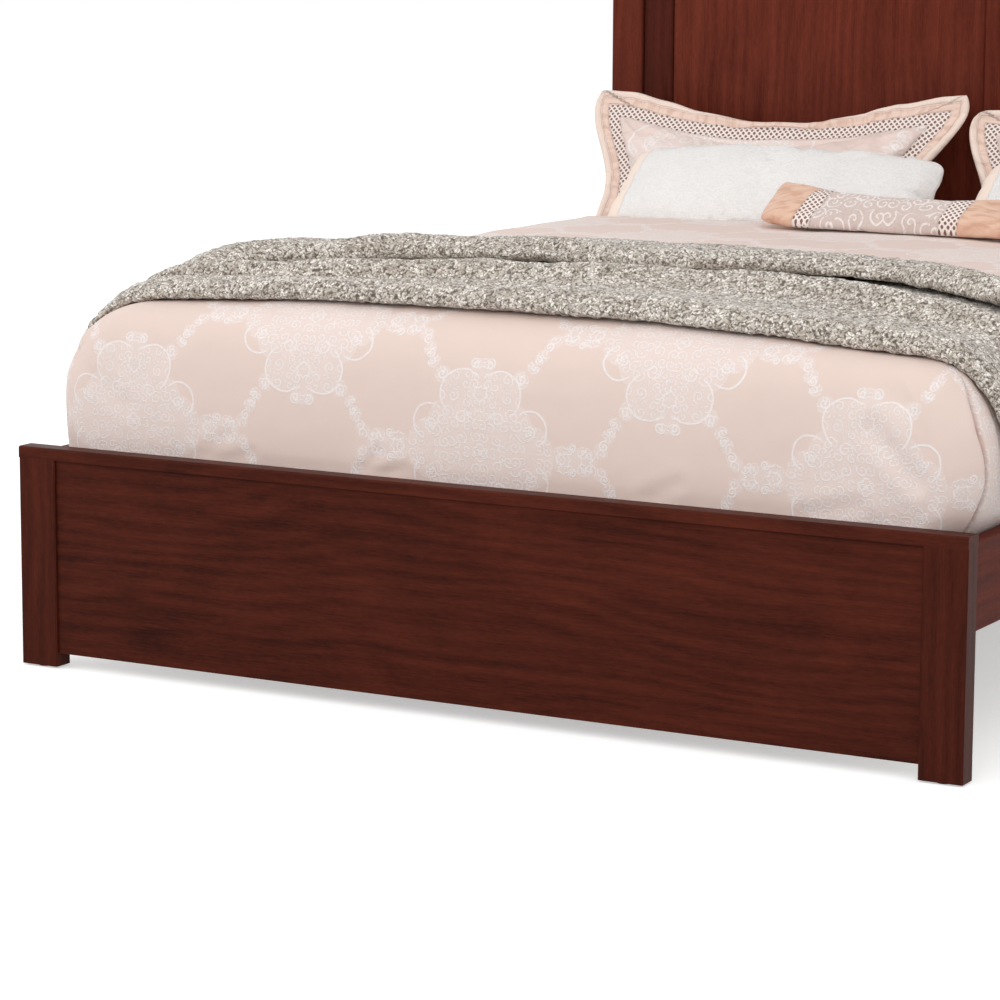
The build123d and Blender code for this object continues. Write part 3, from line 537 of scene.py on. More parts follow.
@dataclass(frozen=True)
class LoopFinish(Finish):
    """Looped yarn in mixed greys and creams, with painted shade between the loops."""

    name: str = "looped_throw"
    # low: the painted shade colour of the gaps between the loops.
    low: Colour = tone(106, 95, 84)
    middle: Colour = tone(206, 197, 187)
    high: Colour = tone(248, 242, 233)
    tuft_dark: Colour = tone(214, 209, 203)

    def paint(self, s: NodeSketch) -> None:
        """Draw loops and fibres, with painted shade darkening the yarn between loops, some loops pale and some tufts
        dull.
        """
        warped = s.stirred(s.place(), 95.0, 2.0, (0.012, 0.012, 0.012))
        loops, chance, _ = s.cells(warped, 235.0)
        height = s.cells(warped, 560.0)[0] * -0.45 + (1.0 - loops)
        # Painted shade: the lower the yarn between loops, the nearer its colour to the dark low tone.
        colour = s.blend(s.ease(height, -0.06, 0.34), self.low, self.middle)
        bright = s.ease(s.split(chance)[0], 0.25, 0.70) * s.ease(height, 0.16, 0.44)
        tufts = s.split(s.cells(warped, 120.0)[1])[1]
        dull = s.blend(s.ease(tufts, 0.62, 0.30), WHITE, self.tuft_dark)
        s.surface({
            "Base Color": s.vector("MULTIPLY", s.blend(bright, colour, self.high), dull),
            "Roughness": 0.95, "Sheen Weight": 0.25, "Sheen Roughness": 0.6,
            "Normal": s.bump(height, 0.0013),
        })


@dataclass(frozen=True)
class TickingFinish(Finish):
    """Off-white mattress ticking with a fine stripe."""

    name: str = "mattress_ticking"
    ground: Colour = tone(238, 234, 226)
    stripe: Colour = tone(214, 208, 198)

    def paint(self, s: NodeSketch) -> None:
        """Draw the stripe, the weave and the quilting."""
        cloth = s.cloth()
        x, y, _ = s.split(cloth)
        stripe = s.ease(s.math("SINE", x * 190.0), 0.4, 0.8)
        weave = s.use(EFFECTS.weave, Cloth=cloth, Pitch=0.0018, Slubs=0.3)["Height"]
        lines = [s.math("ABSOLUTE", s.math("SINE", way * 22.0)) for way in (x + y, x - y)]
        quilt = s.math("POWER", s.math("MINIMUM", *lines), 0.4)
        s.surface({
            "Base Color": s.blend(stripe, self.ground, self.stripe), "Roughness": 0.85,
            "Normal": s.bump(weave, 0.0004, s.bump(quilt, 0.006)),
        })


@dataclass(frozen=True)
class TapeFinish(Finish):
    """Ribbed binding tape."""

    name: str = "binding_tape"
    colour: Colour = tone(222, 214, 202)
    dark: Colour = tone(190, 180, 168)

    def paint(self, s: NodeSketch) -> None:
        """Draw the ribs."""
        rib = s.noise(s.vector("MULTIPLY", s.place(), (1.0, 1.0, 6.0)), 240.0, 1.0)
        s.surface({
            "Base Color": s.blend(rib, self.dark, self.colour), "Roughness": 0.8, "Normal": s.bump(rib, 0.0008),
        })


@dataclass(frozen=True)
class NubbyFinish(Finish):
    """White nubby cotton with a smooth peach panel at one end, past a slanted seam."""

    name: str = "nubby_pillow"
    white: Colour = tone(255, 253, 251)
    slub: Colour = tone(255, 255, 254)
    shadow: Colour = tone(248, 245, 242)
    peach: Colour = tone(245, 226, 212)
    seam_at: float = -0.292
    seam_lean: float = -0.01

    def paint(self, s: NodeSketch) -> None:
        """Draw the nubs and slubs, the peach panel and the seam between them."""
        cloth = s.cloth()
        x, y, _ = s.split(cloth)
        weave = s.use(EFFECTS.weave, Cloth=cloth, Pitch=0.0030, Slubs=0.9)
        nub = s.cells(s.vector("MULTIPLY", cloth, (1.0, 1.7, 1.0)), 210.0)[0]
        colour = s.blend(s.ease(nub, 0.25, 0.75), self.white, self.shadow)
        colour = s.blend(weave["Slub"], colour, self.slub)
        past = x - (y * self.seam_lean + self.seam_at)
        panel, stitch = s.ease(past, 0.001, -0.001), s.line(past, 0.003)
        colour = s.blend(stitch * 0.45, s.blend(panel, colour, self.peach), self.shadow)
        patch = s.use(EFFECTS.shade, Position=s.place())["Shade"]
        height = (weave["Height"] - nub) * (1.0 - panel) - stitch * 1.6
        s.surface({
            "Base Color": s.tinted(colour, patch * 0.04 + 1.0), "Roughness": 0.88, "Sheen Weight": 0.1,
            "Normal": s.bump(height, 0.0009),
        })


@dataclass(frozen=True)
class BandedFinish(Finish):
    """A cushion face in zones counted from its rim: a pale roll, a peach band, net lace and damask."""

    roll: Colour = tone(240, 219, 206)
    peach: Colour = tone(236, 208, 193)
    # The darker peach is painted shade in the band's tucks.
    peach_fold_shade: Colour = tone(218, 184, 166)
    thread: Colour = tone(240, 228, 221)
    # The holes' colour is partly the peach cloth under the net and partly painted shade under the lace.
    hole: Colour = tone(132, 94, 82)
    roll_to: float = 0.018
    lace_from: float = 0.036
    lace_to: float = 0.064
    net_pitch: float = 0.0125
    ground: Colour = tone(238, 216, 207)
    figure: Colour = tone(246, 238, 235)
    shift: tuple[float, float] = (0.08, -0.13)
    scale: float = 1.7
    edge: float = 0.0006
    seam: float = 0.003

    def paint(self, s: NodeSketch) -> None:
        """Draw each zone and the seams between them."""
        along, inward, _ = s.split(s.cloth("rim"))
        damask, height = DamaskFinish("centre", self.ground, self.figure, self.shift).colour(s, self.scale)
        hole = s.use(EFFECTS.lace, Cloth=s.cloth(), Pitch=self.net_pitch)["Hole"]
        crimp = s.noise(s.join(along, inward), (85.0, 26.0, 1.0), 3.0, 0.4)
        borders = (self.roll_to, self.lace_from, self.lace_to)
        in_peach, in_net, in_centre = (s.ease(inward, at - self.edge, at + self.edge) for at in borders)
        # Painted shade: the peach band turns to the darker peach in the low parts of its crimp, where its tucks fold
        # in.
        quilted = s.blend(s.ease(crimp, 0.60, 0.30), self.peach, self.peach_fold_shade)
        colour = s.blend(in_peach, self.roll, quilted)
        # Net holes: the peach cloth beneath, darkened with painted shade.
        colour = s.blend(in_net, colour, s.blend(hole, self.thread, self.hole))
        seams = s.chain("MAXIMUM", (s.line(inward - at, self.seam) for at in borders))
        relief = (1.0 - hole) * (in_net - in_centre) + height * in_centre * 0.5 + (1.0 - in_net) * (crimp * 2.4)
        s.surface({
            "Base Color": s.blend(in_centre, colour, damask), "Roughness": 0.66, "Sheen Weight": 0.12,
            "Normal": s.bump(relief - seams, 0.0014),
        })


@dataclass(frozen=True)
class FloorFinish(Finish):
    """A plain white floor that keeps soft shadows."""

    name: str = "pale_floor"
    grey: Colour = tone(176, 176, 176)

    def paint(self, s: NodeSketch) -> None:
        """Show the camera a slightly glowing floor, and light the bed from a plain grey one."""
        s.surface({"Base Color": self.grey, "Roughness": 0.9, "Specular IOR Level": 0.1})
        glow = s.node("Emission", {"Color": WHITE, "Strength": 0.45})
        white = s.node("BsdfDiffuse", {"Color": (0.8, 0.8, 0.8, 1.0)})
        lit = s.node("AddShader", {0: white.outputs[0], 1: glow.outputs[0]})
        plain = s.tree.nodes["Principled BSDF"].outputs[0]
        mixed = s.node("MixShader", {0: s.seen(), 1: plain, 2: lit.outputs[0]})
        s.fill(s.tree.nodes["Material Output"], {"Surface": mixed.outputs[0]})


def run_along(line: Grid) -> Grid:
    """The run from a line's start to each of its points."""
    return np.concatenate([[0], np.cumsum(np.linalg.norm(np.diff(line, axis=0), axis=1))])


def at_runs(line: Grid, runs: Grid, places: Grid) -> Grid:
    """A line's points at some places, where its own points have these runs."""
    return np.stack([np.interp(places, runs, part) for part in line.T], axis=1)


def evenly(line: Grid, count: int) -> Grid:
    """A line cut into equal lengths, as this many points."""
    runs = run_along(line)
    return at_runs(line, runs, np.linspace(0, runs[-1], count))


def smooth_path(points: list, count: int) -> Grid:
    """A smooth curve through points, cut into equal lengths.

    Args:
        points: the points, of two or three numbers each.
        count: how many places to return.

    Returns:
        The places along the curve.
    """
    knots = np.array(points, float)
    ends = np.vstack([2 * knots[0] - knots[1], knots, 2 * knots[-1] - knots[-2]])
    t = np.linspace(0, 1, 24, endpoint=False)[:, None]
    runs = [
        0.5 * (2 * b + (c - a) * t + (2 * a - 5 * b + 4 * c - d) * t**2 + (3 * b - a - 3 * c + d) * t**3)
        for a, b, c, d in zip(ends[:-3], ends[1:-2], ends[2:-1], ends[3:])
    ]
    return evenly(np.vstack([*runs, knots[-1:]]), count)


def soft_step(value: Grid | float, low: float, high: float) -> Grid:
    """A smooth step from 0 at low to 1 at high."""
    share = np.clip((value - low) / (high - low), 0, 1)
    return share * share * (3 - 2 * share)


def ridge(away: Grid, width: float) -> Grid:
    """A smooth hump: 1 where the distance is 0, and nearly 0 from twice the width."""
    return np.exp(-((away / width) ** 2))


class Ripple:
    """A smooth seeded wave field over two directions, about -1 to 1."""

    def __init__(self, seed: int, shortest: float, longest: float, count: int) -> None:
        """Draw the waves.

        Args:
            seed: starts the random draws.
            shortest: the shortest wavelength, in metres.
            longest: the longest wavelength, in metres.
            count: how many waves are summed.
        """
        draw = np.random.default_rng(seed)
        length = np.exp(draw.uniform(math.log(shortest), math.log(longest), count))
        turn = draw.uniform(0, 2 * math.pi, count)
        self.waves = 2 * math.pi / length * np.array([np.cos(turn), np.sin(turn)])
        self.start = draw.uniform(0, 2 * math.pi, count)
        self.size = length / length.sum() * 1.9

    def at(self, x: Grid, y: Grid) -> Grid:
        """The height at some places."""
        phase = np.multiply.outer(x, self.waves[0]) + np.multiply.outer(y, self.waves[1]) + self.start
        return (np.sin(phase) * self.size).sum(-1)


def grid_faces(rows: int, columns: int, flip: bool = False, closed: bool = False) -> Grid:
    """Quads over a grid of points numbered row by row.

    Args:
        rows: how many rows of points there are.
        columns: how many points a row has.
        flip: whether the faces look the other way.
        closed: whether each row goes round to its own start.

    Returns:
        The corner numbers of each quad.
    """
    row = np.arange(rows - 1)[:, None] * columns
    here = np.arange(columns if closed else columns - 1)
    first, after = (row + here).ravel(), (row + (here + 1) % columns).ravel()
    quads = np.stack([first, after, after + columns, first + columns], axis=1)
    return quads[:, ::-1] if flip else quads


def add_mesh(name: str, points: Grid, faces: Grid, layers: dict[str, Grid]) -> Piece:
    """Make a smooth mesh piece.

    Args:
        name: the piece's name.
        points: its vertices.
        faces: its quads.
        layers: flat cloth positions, in metres, by name: one per vertex, or one per face corner.

    Returns:
        The new object.
    """
    mesh = bpy.data.meshes.new(name)
    mesh.from_pydata(points.tolist(), [], faces.tolist())
    corners = np.asarray(faces).ravel()
    for layer, places in layers.items():
        wanted = places[corners] if len(places) == len(points) else places
        mesh.uv_layers.new(name=layer).data.foreach_set("uv", np.asarray(wanted, np.float32).ravel())
    mesh.shade_smooth()
    mesh.validate()
    piece = bpy.data.objects.new(name, mesh)
    bpy.context.scene.collection.objects.link(piece)
    return piece


def points_of(mesh: bpy.types.Mesh) -> Grid:
    """The vertices of a mesh."""
    places = np.empty(len(mesh.vertices) * 3, np.float32)
    mesh.vertices.foreach_get("co", places)
    return places.reshape(-1, 3).astype(float)


def set_points(mesh: bpy.types.Mesh, points: Grid) -> None:
    """Move the vertices of a mesh."""
    mesh.vertices.foreach_set("co", np.asarray(points, np.float32).ravel())
    mesh.update()


def weld(piece: Piece, reach: float = 1e-5) -> None:
    """Join vertices that lie on each other."""
    body = bmesh.new()
    body.from_mesh(piece.data)
    bmesh.ops.remove_doubles(body, verts=body.verts, dist=reach)
    bmesh.ops.dissolve_degenerate(body, edges=body.edges, dist=reach)
    bmesh.ops.recalc_face_normals(body, faces=body.faces)
    body.to_mesh(piece.data)
    body.free()
    piece.data.shade_smooth()


def dress(piece: Piece, material: Material, body: str) -> None:
    """Give a piece its material and the body that it rides on."""
    piece.data.materials.clear()
    piece.data.materials.append(material)
    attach(piece, body)
    LOG.info("%s: %d faces", piece.name, len(piece.data.polygons))


def pair(stem: str) -> tuple[str, str]:
    """The names of a left and a right piece."""
    return f"{stem}_left", f"{stem}_right"


def trio(stem: str) -> tuple[str, str, str]:
    """The names of a front, a middle and a rear piece."""
    return f"{stem}_front", f"{stem}_middle", f"{stem}_rear"


@dataclass
class BedFrame:
    """The wooden bed and its fittings, whose CAD pieces stay and get their finishes."""

    # One cherry in four tones that paint light and shade: the headboard's is lighter, painted light from above and the
    # front; the rails' is lighter, painted light from the right; the footboard's is darker, painted shade low down; the
    # strips' is darkest, painted shade in their recess beside the posts.
    foot: tuple[Colour, Colour] = (tone(47, 17, 11), tone(88, 38, 25))
    head: tuple[Colour, Colour] = (tone(78, 30, 20), tone(119, 54, 39))
    strip: tuple[Colour, Colour] = (tone(56, 20, 13), tone(90, 38, 28))
    rail: tuple[Colour, Colour] = (tone(62, 22, 12), tone(112, 46, 32))
    pine: tuple[Colour, Colour] = (tone(190, 158, 118), tone(226, 200, 164))
    slat_count: int = 13

    def finishes(self) -> tuple[tuple[Finish, tuple[str, ...]], ...]:
        """Each finish and the CAD pieces that have it."""
        planed = {"figure": 0.7, "roughness": 0.62}
        slats = (f"slat_{number:02d}" for number in range(1, self.slat_count + 1))
        across, along, upright = GrainWay.ACROSS, GrainWay.LENGTHWISE, GrainWay.UPRIGHT
        return (
            (WoodFinish("cherry_across_painted_shade", across, *self.foot, 1.25), ("footboard_panel", "footboard_cap")),
            (WoodFinish("cherry_upright_painted_shade", upright, *self.foot), pair("footboard_post")),
            (WoodFinish("cherry_head_painted_light_across", across, *self.head), ("headboard_cap", "headboard_top_strip")),
            (WoodFinish("cherry_head_painted_light_upright", upright, *self.head),
             (*pair("headboard_post"), *pair("headboard_panel"))),
            # Strips: cherry painted darker for the shade in their recess beside the posts.
            (WoodFinish("cherry_strip_painted_shade", upright, *self.strip), pair("headboard_stile")),
            # Rails: cherry painted lighter for the light falling from the right.
            (WoodFinish("cherry_lengthwise_painted_light", along, *self.rail, shine=0.02), pair("side_rail")),
            (WoodFinish("pine_across", across, *self.pine, **planed),
             ("footboard_stretcher", "headboard_bottom_rail", "headboard_top_rail", *slats)),
            (WoodFinish("pine_lengthwise", along, *self.pine, **planed), (*pair("slat_ledge"), "centre_beam")),
            (WoodFinish("pine_upright", upright, *self.pine, **planed),
             ("headboard_centre_batten", *trio("centre_leg"), "cap_dowels")),
            (PlasticFinish(), (*trio("glide"), "post_glides")),
            (MetalFinish(),
             ("beam_hangers", "rail_hook_plates", "post_slot_plates", "leg_bolts", "leg_inserts",
              "panel_screws", "ledge_screws", "slat_screws", "bracket_screws")),
        )

    def dress_all(self) -> None:
        """Give every rigid CAD piece its finish."""
        for finish, names in self.finishes():
            material = finish.build()
            for name in names:
                data = frame["nodes"][name].data
                data.materials.clear()
                data.materials.append(material)
            LOG.info("%s on %d pieces", finish.name, len(names))


@dataclass
class Mattress:
    """A sprung mattress with crowned panels, bulging borders and two binding tapes."""

    half_width: float = 0.7600
    front: float = -1.0178
    back: float = 1.0108
    bottom: float = 0.2708
    top: float = 0.5698
    corner: float = 0.052
    least_corner: float = 0.012
    shoulder: float = 0.050
    foot: float = 0.016
    bulge: float = 0.0035
    crown: float = 0.010
    tape_radius: float = 0.0045
    tape_sides: int = 10
    tape_inset: float = 0.0012
    around: float = 7.1
    count: int = 400

    def ring(self, inset: float, height: float) -> Grid:
        """A level ring with round corners, the same left and right.

        Args:
            inset: how far in from the border it runs.
            height: its height.

        Returns:
            Evenly spaced points, from the middle of the head end.
        """
        reach = self.half_width - inset
        low, high = self.front + inset, self.back - inset
        radius = min(max(self.corner - inset, self.least_corner), max(reach, 0.0))
        turns = np.linspace(0, QUARTER, 9)
        side = [(0.0, high)]
        side += [(reach - radius + radius * math.sin(t), high - radius + radius * math.cos(t)) for t in turns]
        side += [(reach - radius + radius * math.cos(t), low + radius - radius * math.sin(t)) for t in turns]
        half = evenly(np.array([*side, (0.0, low)]), self.count // 2 + 1)
        ring = np.vstack([half, half[-2:0:-1] * (-1, 1)])
        return np.column_stack([ring, np.full(self.count, height)])

    def section(self) -> Grid:
        """Inset and height of each ring, from under the bottom panel, up the border and over the top."""
        low, high = self.bottom, self.top
        border = np.linspace(0, 1, 17)
        rise = low + self.foot + border * (high - low - self.foot - self.shoulder)
        turn = np.linspace(0, QUARTER, 12)[1:]
        panel = np.array([0.075, 0.11, 0.17, 0.28, 0.42, 0.58, self.half_width])
        under = np.array([self.half_width, 0.5, 0.3, 0.15, 0.06, 0.03, 0.014])
        parts = (
            (under, low + self.crown * ridge(under - 0.004, 0.012)),
            (self.bulge * (1 - np.sin(border * math.pi)), rise),
            (self.bulge + self.shoulder * (1 - np.cos(turn)), high - self.shoulder * (1 - np.sin(turn))),
            (panel, np.full(len(panel), high)),
        )
        return np.vstack([np.stack(part, axis=1) for part in parts])

    def build(self) -> None:
        """Make the mattress and its tapes."""
        section = self.section()
        rings = [self.ring(inset, height) for inset, height in section]
        around = np.linspace(0, self.around, self.count)
        flat = [
            ring[:, :2] if inset > 0.03 else np.column_stack([around, np.full(self.count, run)])
            for ring, (inset, _), run in zip(rings, section, run_along(section))
        ]
        faces = grid_faces(len(section), self.count, closed=True)[:, [0, 3, 2, 1]]
        piece = add_mesh("mattress_body", np.vstack(rings), faces, {"cloth": np.vstack(flat)})
        weld(piece)
        dress(piece, TickingFinish().build(), "mattress")
        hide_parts("mattress")
        tape = TapeFinish().build()
        for name, height in (("low", self.bottom + self.foot), ("high", self.top - self.shoulder)):
            cord = self.tape(f"mattress_tape_{name}", self.ring(self.tape_inset, height))
            dress(cord, tape, "mattress")

    def tape(self, name: str, line: Grid) -> Piece:
        """A round binding tape along a closed level ring."""
        ahead = np.roll(line, -1, axis=0) - np.roll(line, 1, axis=0)
        ahead /= np.linalg.norm(ahead, axis=1)[:, None]
        out = np.cross(ahead, (0, 0, 1))
        turns = np.linspace(0, 2 * math.pi, self.tape_sides, endpoint=False)[None, :, None]
        round_off = np.cos(turns) * out[:, None] + np.sin(turns) * np.array([0, 0, 1.0])
        flat = (line[:, None] + self.tape_radius * round_off).reshape(-1, 3)
        faces = grid_faces(len(line) + 1, self.tape_sides, closed=True)[:, [0, 3, 2, 1]] % len(flat)
        return add_mesh(name, flat, faces, {"cloth": flat[:, :2]})


@dataclass
class Comforter:
    """A lofty comforter over the mattress: tucked in at the foot and left, bulging over the right rail."""

    head: float = 0.607
    middle: float = -0.36
    height: float = 0.6315
    loft_under: float = 0.5712
    inner_side: float = 0.7628
    inner_front: float = -1.0206
    shoulder: float = 0.050
    head_roll: float = 0.045
    top_radius: float = 0.030
    radius_gain: float = 0.045
    right_corner: float = 0.118
    left_fall: tuple = (
        (-0.640, 0.6070), (-0.694, 0.5940), (-0.736, 0.5690), (-0.766, 0.5370), (-0.785, 0.5000),
        (-0.7935, 0.4700), (-0.7960, 0.4150), (-0.7950, 0.3600), (-0.7945, 0.3120),
    )
    right_fall: tuple = (
        (0.650, 0.6120), (0.712, 0.6050), (0.757, 0.5900), (0.792, 0.5620), (0.818, 0.5230),
        (0.833, 0.4750), (0.834, 0.4300), (0.822, 0.3850), (0.803, 0.3575), (0.7900, 0.3420), (0.7862, 0.3120),
    )
    front_fall: tuple = (
        (-0.925, 0.6120), (-0.968, 0.6050), (-1.000, 0.5880), (-1.020, 0.5620), (-1.031, 0.5250),
        (-1.0365, 0.4750), (-1.0370, 0.4300), (-1.0345, 0.3850), (-1.0325, 0.3650), (-1.0318, 0.3120),
    )
    pinches: tuple = (
        (-0.492, 0.372, -0.448, 0.404, 0.0013, 0.012), (-0.465, 0.366, -0.400, 0.382, 0.0010, 0.010),
        (-0.196, 0.372, -0.166, 0.402, 0.0020, 0.011), (-0.170, 0.368, -0.120, 0.380, 0.0014, 0.009),
        (0.300, 0.372, 0.352, 0.396, 0.0014, 0.012), (0.560, 0.370, 0.640, 0.388, 0.0018, 0.013),
        (-0.700, 0.480, -0.640, 0.440, 0.0012, 0.016), (0.660, 0.500, 0.735, 0.432, 0.0032, 0.016),
        (0.690, 0.560, 0.752, 0.520, 0.0026, 0.016),
    )
    pleat: tuple = (
        (0.32, 0.100), (0.40, 0.082), (0.50, 0.0740), (0.60, 0.078), (0.70, 0.080), (0.80, 0.076), (0.90, 0.082),
        (1.00, 0.090),
    )
    fall_steps: int = 60
    top_steps: int = 84
    side_steps: int = 190
    corner_steps: int = 84
    front_steps: int = 190
    puff: Ripple = field(default_factory=lambda: Ripple(11, 0.16, 0.62, 18))
    drape: Ripple = field(default_factory=lambda: Ripple(23, 0.11, 0.46, 16))
    fine: Ripple = field(default_factory=lambda: Ripple(37, 0.035, 0.11, 22))

    def top(self, x: Grid, y: Grid) -> Grid:
        """Height of the top at some places: crowned, a little puffed, and lower at the foot."""
        crown = 0.0215 * (np.abs(x) / 0.65) ** 2.4 * (1 - 0.62 * soft_step(y, -0.38, 0.05))
        foot = 0.008 * soft_step(-y, 0.55, 0.95)
        return self.height - crown - foot + (0.0028 * self.puff.at(x, y) + 0.0007 * self.fine.at(x, y))

    @cached_property
    def falls(self) -> tuple[Grid, Grid, Grid]:
        """The left, right and front profiles, outwards and down."""
        paths = (self.left_fall, self.right_fall, self.front_fall)
        return tuple(smooth_path(list(path), self.fall_steps) for path in paths)

    @cached_property
    def path(self) -> tuple[Grid, Grid, Grid]:
        """Places around the skirt.

        Returns:
            The segment of each place (0 left, 1 left corner, 2 front, 3 right corner, 4 right), its
            share of that segment, and whether the face after it belongs to a side panel.
        """
        counts = (self.side_steps, self.corner_steps, self.front_steps, self.corner_steps, self.side_steps)
        segment = np.repeat(np.arange(5), counts)
        share = np.concatenate([np.linspace(0, 1, count, endpoint=k == 4) for k, count in enumerate(counts)])
        return segment, share, np.choose(segment, [True, share < 0.5, False, share >= 0.66, True])

    def ring(self, reach_left: float, reach_right: float, front: float, radius: float) -> Grid:
        """Plan places of one ring around the bed.

        Args:
            reach_left: X of its left run.
            reach_right: X of its right run.
            front: Y of its front run.
            radius: its corner radius.

        Returns:
            X, Y and the outward direction of each place.
        """
        segment, share, _ = self.path
        radius = min(radius, (reach_right - reach_left) / 2)
        sin, cos = np.sin(share * QUARTER), np.cos(share * QUARTER)
        left, right, low = reach_left + radius, reach_right - radius, front + radius
        across, back, ahead = left + (right - left) * share, self.head - low, low - self.head
        return np.stack([
            np.choose(segment, [reach_left, left - radius * cos, across, right + radius * sin, reach_right]),
            np.choose(segment, [
                self.head + ahead * share, low - radius * sin, front, low - radius * cos, low + back * share,
            ]),
            np.choose(segment, [-1.0, -cos, 0.0, sin, 1.0]),
            np.choose(segment, [0.0, -sin, -1.0, -cos, 0.0]),
        ], axis=1)

    def front_share(self) -> Grid:
        """How much each place around the skirt follows the front profile rather than a side's."""
        segment, share, _ = self.path
        eased = share * share * (3 - 2 * share)
        return np.choose(segment, [0.0, eased, 1.0, 1 - eased, 0.0])

    def outside(self) -> tuple[Grid, Grid, Grid]:
        """The outer surface.

        Returns:
            Its points by ring, and their flat positions as front panel and as side panel.
        """
        left, right, front = self.falls
        segment, share, _ = self.path
        weight = self.front_share()
        points, as_front, as_side = [], [], []
        for t in np.linspace(0, 1, self.top_steps, endpoint=False):
            reach_front = self.middle + (front[0, 0] - self.middle) * t
            x, y, _, _ = self.ring(left[0, 0] * t, right[0, 0] * t, reach_front, self.top_radius * t).T
            points.append(np.stack([x, y, self.top(x, y)], axis=1))
            as_front.append(points[-1][:, :2])
            as_side.append(points[-1][:, :2])
        start = self.ring(left[0, 0], right[0, 0], front[0, 0], self.top_radius)
        start_z = self.top(start[:, 0], start[:, 1])
        is_left, at_corner = segment < 2, (segment == 1) | (segment == 3)
        base_x, side_0 = np.where(is_left[:, None], left[0], right[0]).T
        lengths = [run_along(fall) for fall in (left, right, front)]
        for k, down in enumerate(np.linspace(0, 1, self.fall_steps)):
            radius = float(self.top_radius + self.radius_gain * soft_step(down, 0.0, 0.45))
            x, y, out_x, out_y = self.ring(left[k, 0], right[k, 0], front[k, 0], radius).T
            z = np.where(is_left, left[k, 1], right[k, 1]) * (1 - weight) + front[k, 1] * weight
            fade = 1 - soft_step(down, 0.0, 0.34)
            z = z + fade * (start_z - (side_0 * (1 - weight) + front[0, 1] * weight))
            push = self.hang(x, y, z, float(down))
            points.append(np.stack([x + out_x * push, y + out_y * push, z], axis=1))
            quarter = radius * QUARTER
            side_x = base_x + np.sign(base_x) * np.where(is_left, lengths[0][k], lengths[1][k])
            lead = np.where(segment == 1, share, 1 - share) * quarter
            side_y = np.where(at_corner, front[k, 0] + radius - lead, y)
            as_side.append(np.stack([side_x, side_y], axis=1))
            turned = [x, left[k, 0] + radius - (1 - share) * quarter, x, right[k, 0] - radius + share * quarter, x]
            as_front.append(np.stack([np.choose(segment, turned), front[0, 0] - lengths[2][k] + 0 * x], axis=1))
        return np.array(points), np.array(as_front), np.array(as_side)

    def hang(self, x: Grid, y: Grid, z: Grid, down: float) -> Grid:
        """How far the skirt stands out of or into its plain form.

        Args:
            x: X of each place around the skirt.
            y: Y of each place.
            z: Z of each place.
            down: the share of the way down.

        Returns:
            The push outwards at each place.
        """
        segment, share, _ = self.path
        around = np.choose(segment, [-y, 1.2 + x, 1.2 + x, 1.2 + x, 3.0 + y])
        loose = math.sin(math.pi * min(max((down - 0.18) / 0.7, 0), 1))
        amount = 0.0030 * loose * self.drape.at(around, z * 0.35) + 0.0006 * loose * self.fine.at(around, z)
        amount = amount * np.where(segment == 4, 1.5, 1.0)
        for x0, z0, x1, z1, depth, width in self.pinches:
            dx, dz = x1 - x0, z1 - z0
            place = np.clip(((x - x0) * dx + (z - z0) * dz) / (dx * dx + dz * dz), 0, 1)
            away = np.hypot(x - x0 - place * dx, z - z0 - place * dz)
            fold = ridge(away, width) - 0.7 * ridge(away - 1.7 * width, width)
            amount = amount - np.where(segment == 2, depth * fold, 0.0)
        corner = np.where(segment == 1, ridge(share - 0.5, 0.06), 0.0)
        amount = amount - 0.004 * corner * soft_step(down, 0.12, 0.3)
        heights, places = zip(*self.pleat)
        behind = self.right_corner + y - y[segment == 4][0]
        past = np.where(segment == 3, self.right_corner * share, behind) - np.interp(down, heights, places)
        back = 0.004 * soft_step(past, -0.002, 0.003) * np.exp(-np.maximum(past, 0) / 0.05)
        fold = (0.023 * ridge(past, 0.0036) + back) * (1 - 0.45 * soft_step(down, 0.86, 0.96))
        fold = fold - 0.0030 * loose * ridge(past + 0.012, 0.009)
        amount = amount - np.where(segment >= 3, fold, 0.0) * soft_step(down, 0.29, 0.38)
        return amount + np.where(segment == 3, 0.006 * np.sin(share * math.pi) ** 2, 0.0) * loose

    def inside(self) -> Grid:
        """The lining, over the mattress and down its sides, ring by ring as the outside."""
        left, _, front = self.falls
        hem = min(left[-1, 1], front[-1, 1])
        turn = np.linspace(0, QUARTER, 12)
        arc = [(self.shoulder * math.sin(t), -self.shoulder * (1 - math.cos(t))) for t in turn]
        below = [(self.shoulder, -self.shoulder - 0.08), (self.shoulder, hem - self.loft_under)]
        fall = smooth_path([(-0.03, 0.0), *arc, *below], self.fall_steps)
        flat_side, flat_front = self.inner_side - self.shoulder, self.inner_front + self.shoulder
        plans = []
        for t in np.linspace(0, 1, self.top_steps, endpoint=False):
            reach, reach_front = (flat_side - 0.03) * t, self.middle + (flat_front + 0.03 - self.middle) * t
            plans.append((reach, reach_front, 0.03 * t, 0.0))
        for k, (out, down) in enumerate(fall):
            plans.append((flat_side + out, flat_front - out, 0.03 + 0.022 * k / self.fall_steps, down))
        return np.array([
            np.insert(self.ring(-side, side, low, radius)[:, :2], 2, self.loft_under + down, axis=1)
            for side, low, radius, down in plans
        ])

    def head_round(self, surface: Grid, seam: Grid) -> Grid:
        """A surface drawn to the seam plane at the head end, so that the end is round."""
        near = np.clip((self.head - surface[:, :, 1]) / self.head_roll, 0, 1)
        return seam + (surface - seam) * np.sqrt(np.clip(1 - (1 - near) ** 2, 0, 1))[:, :, None]

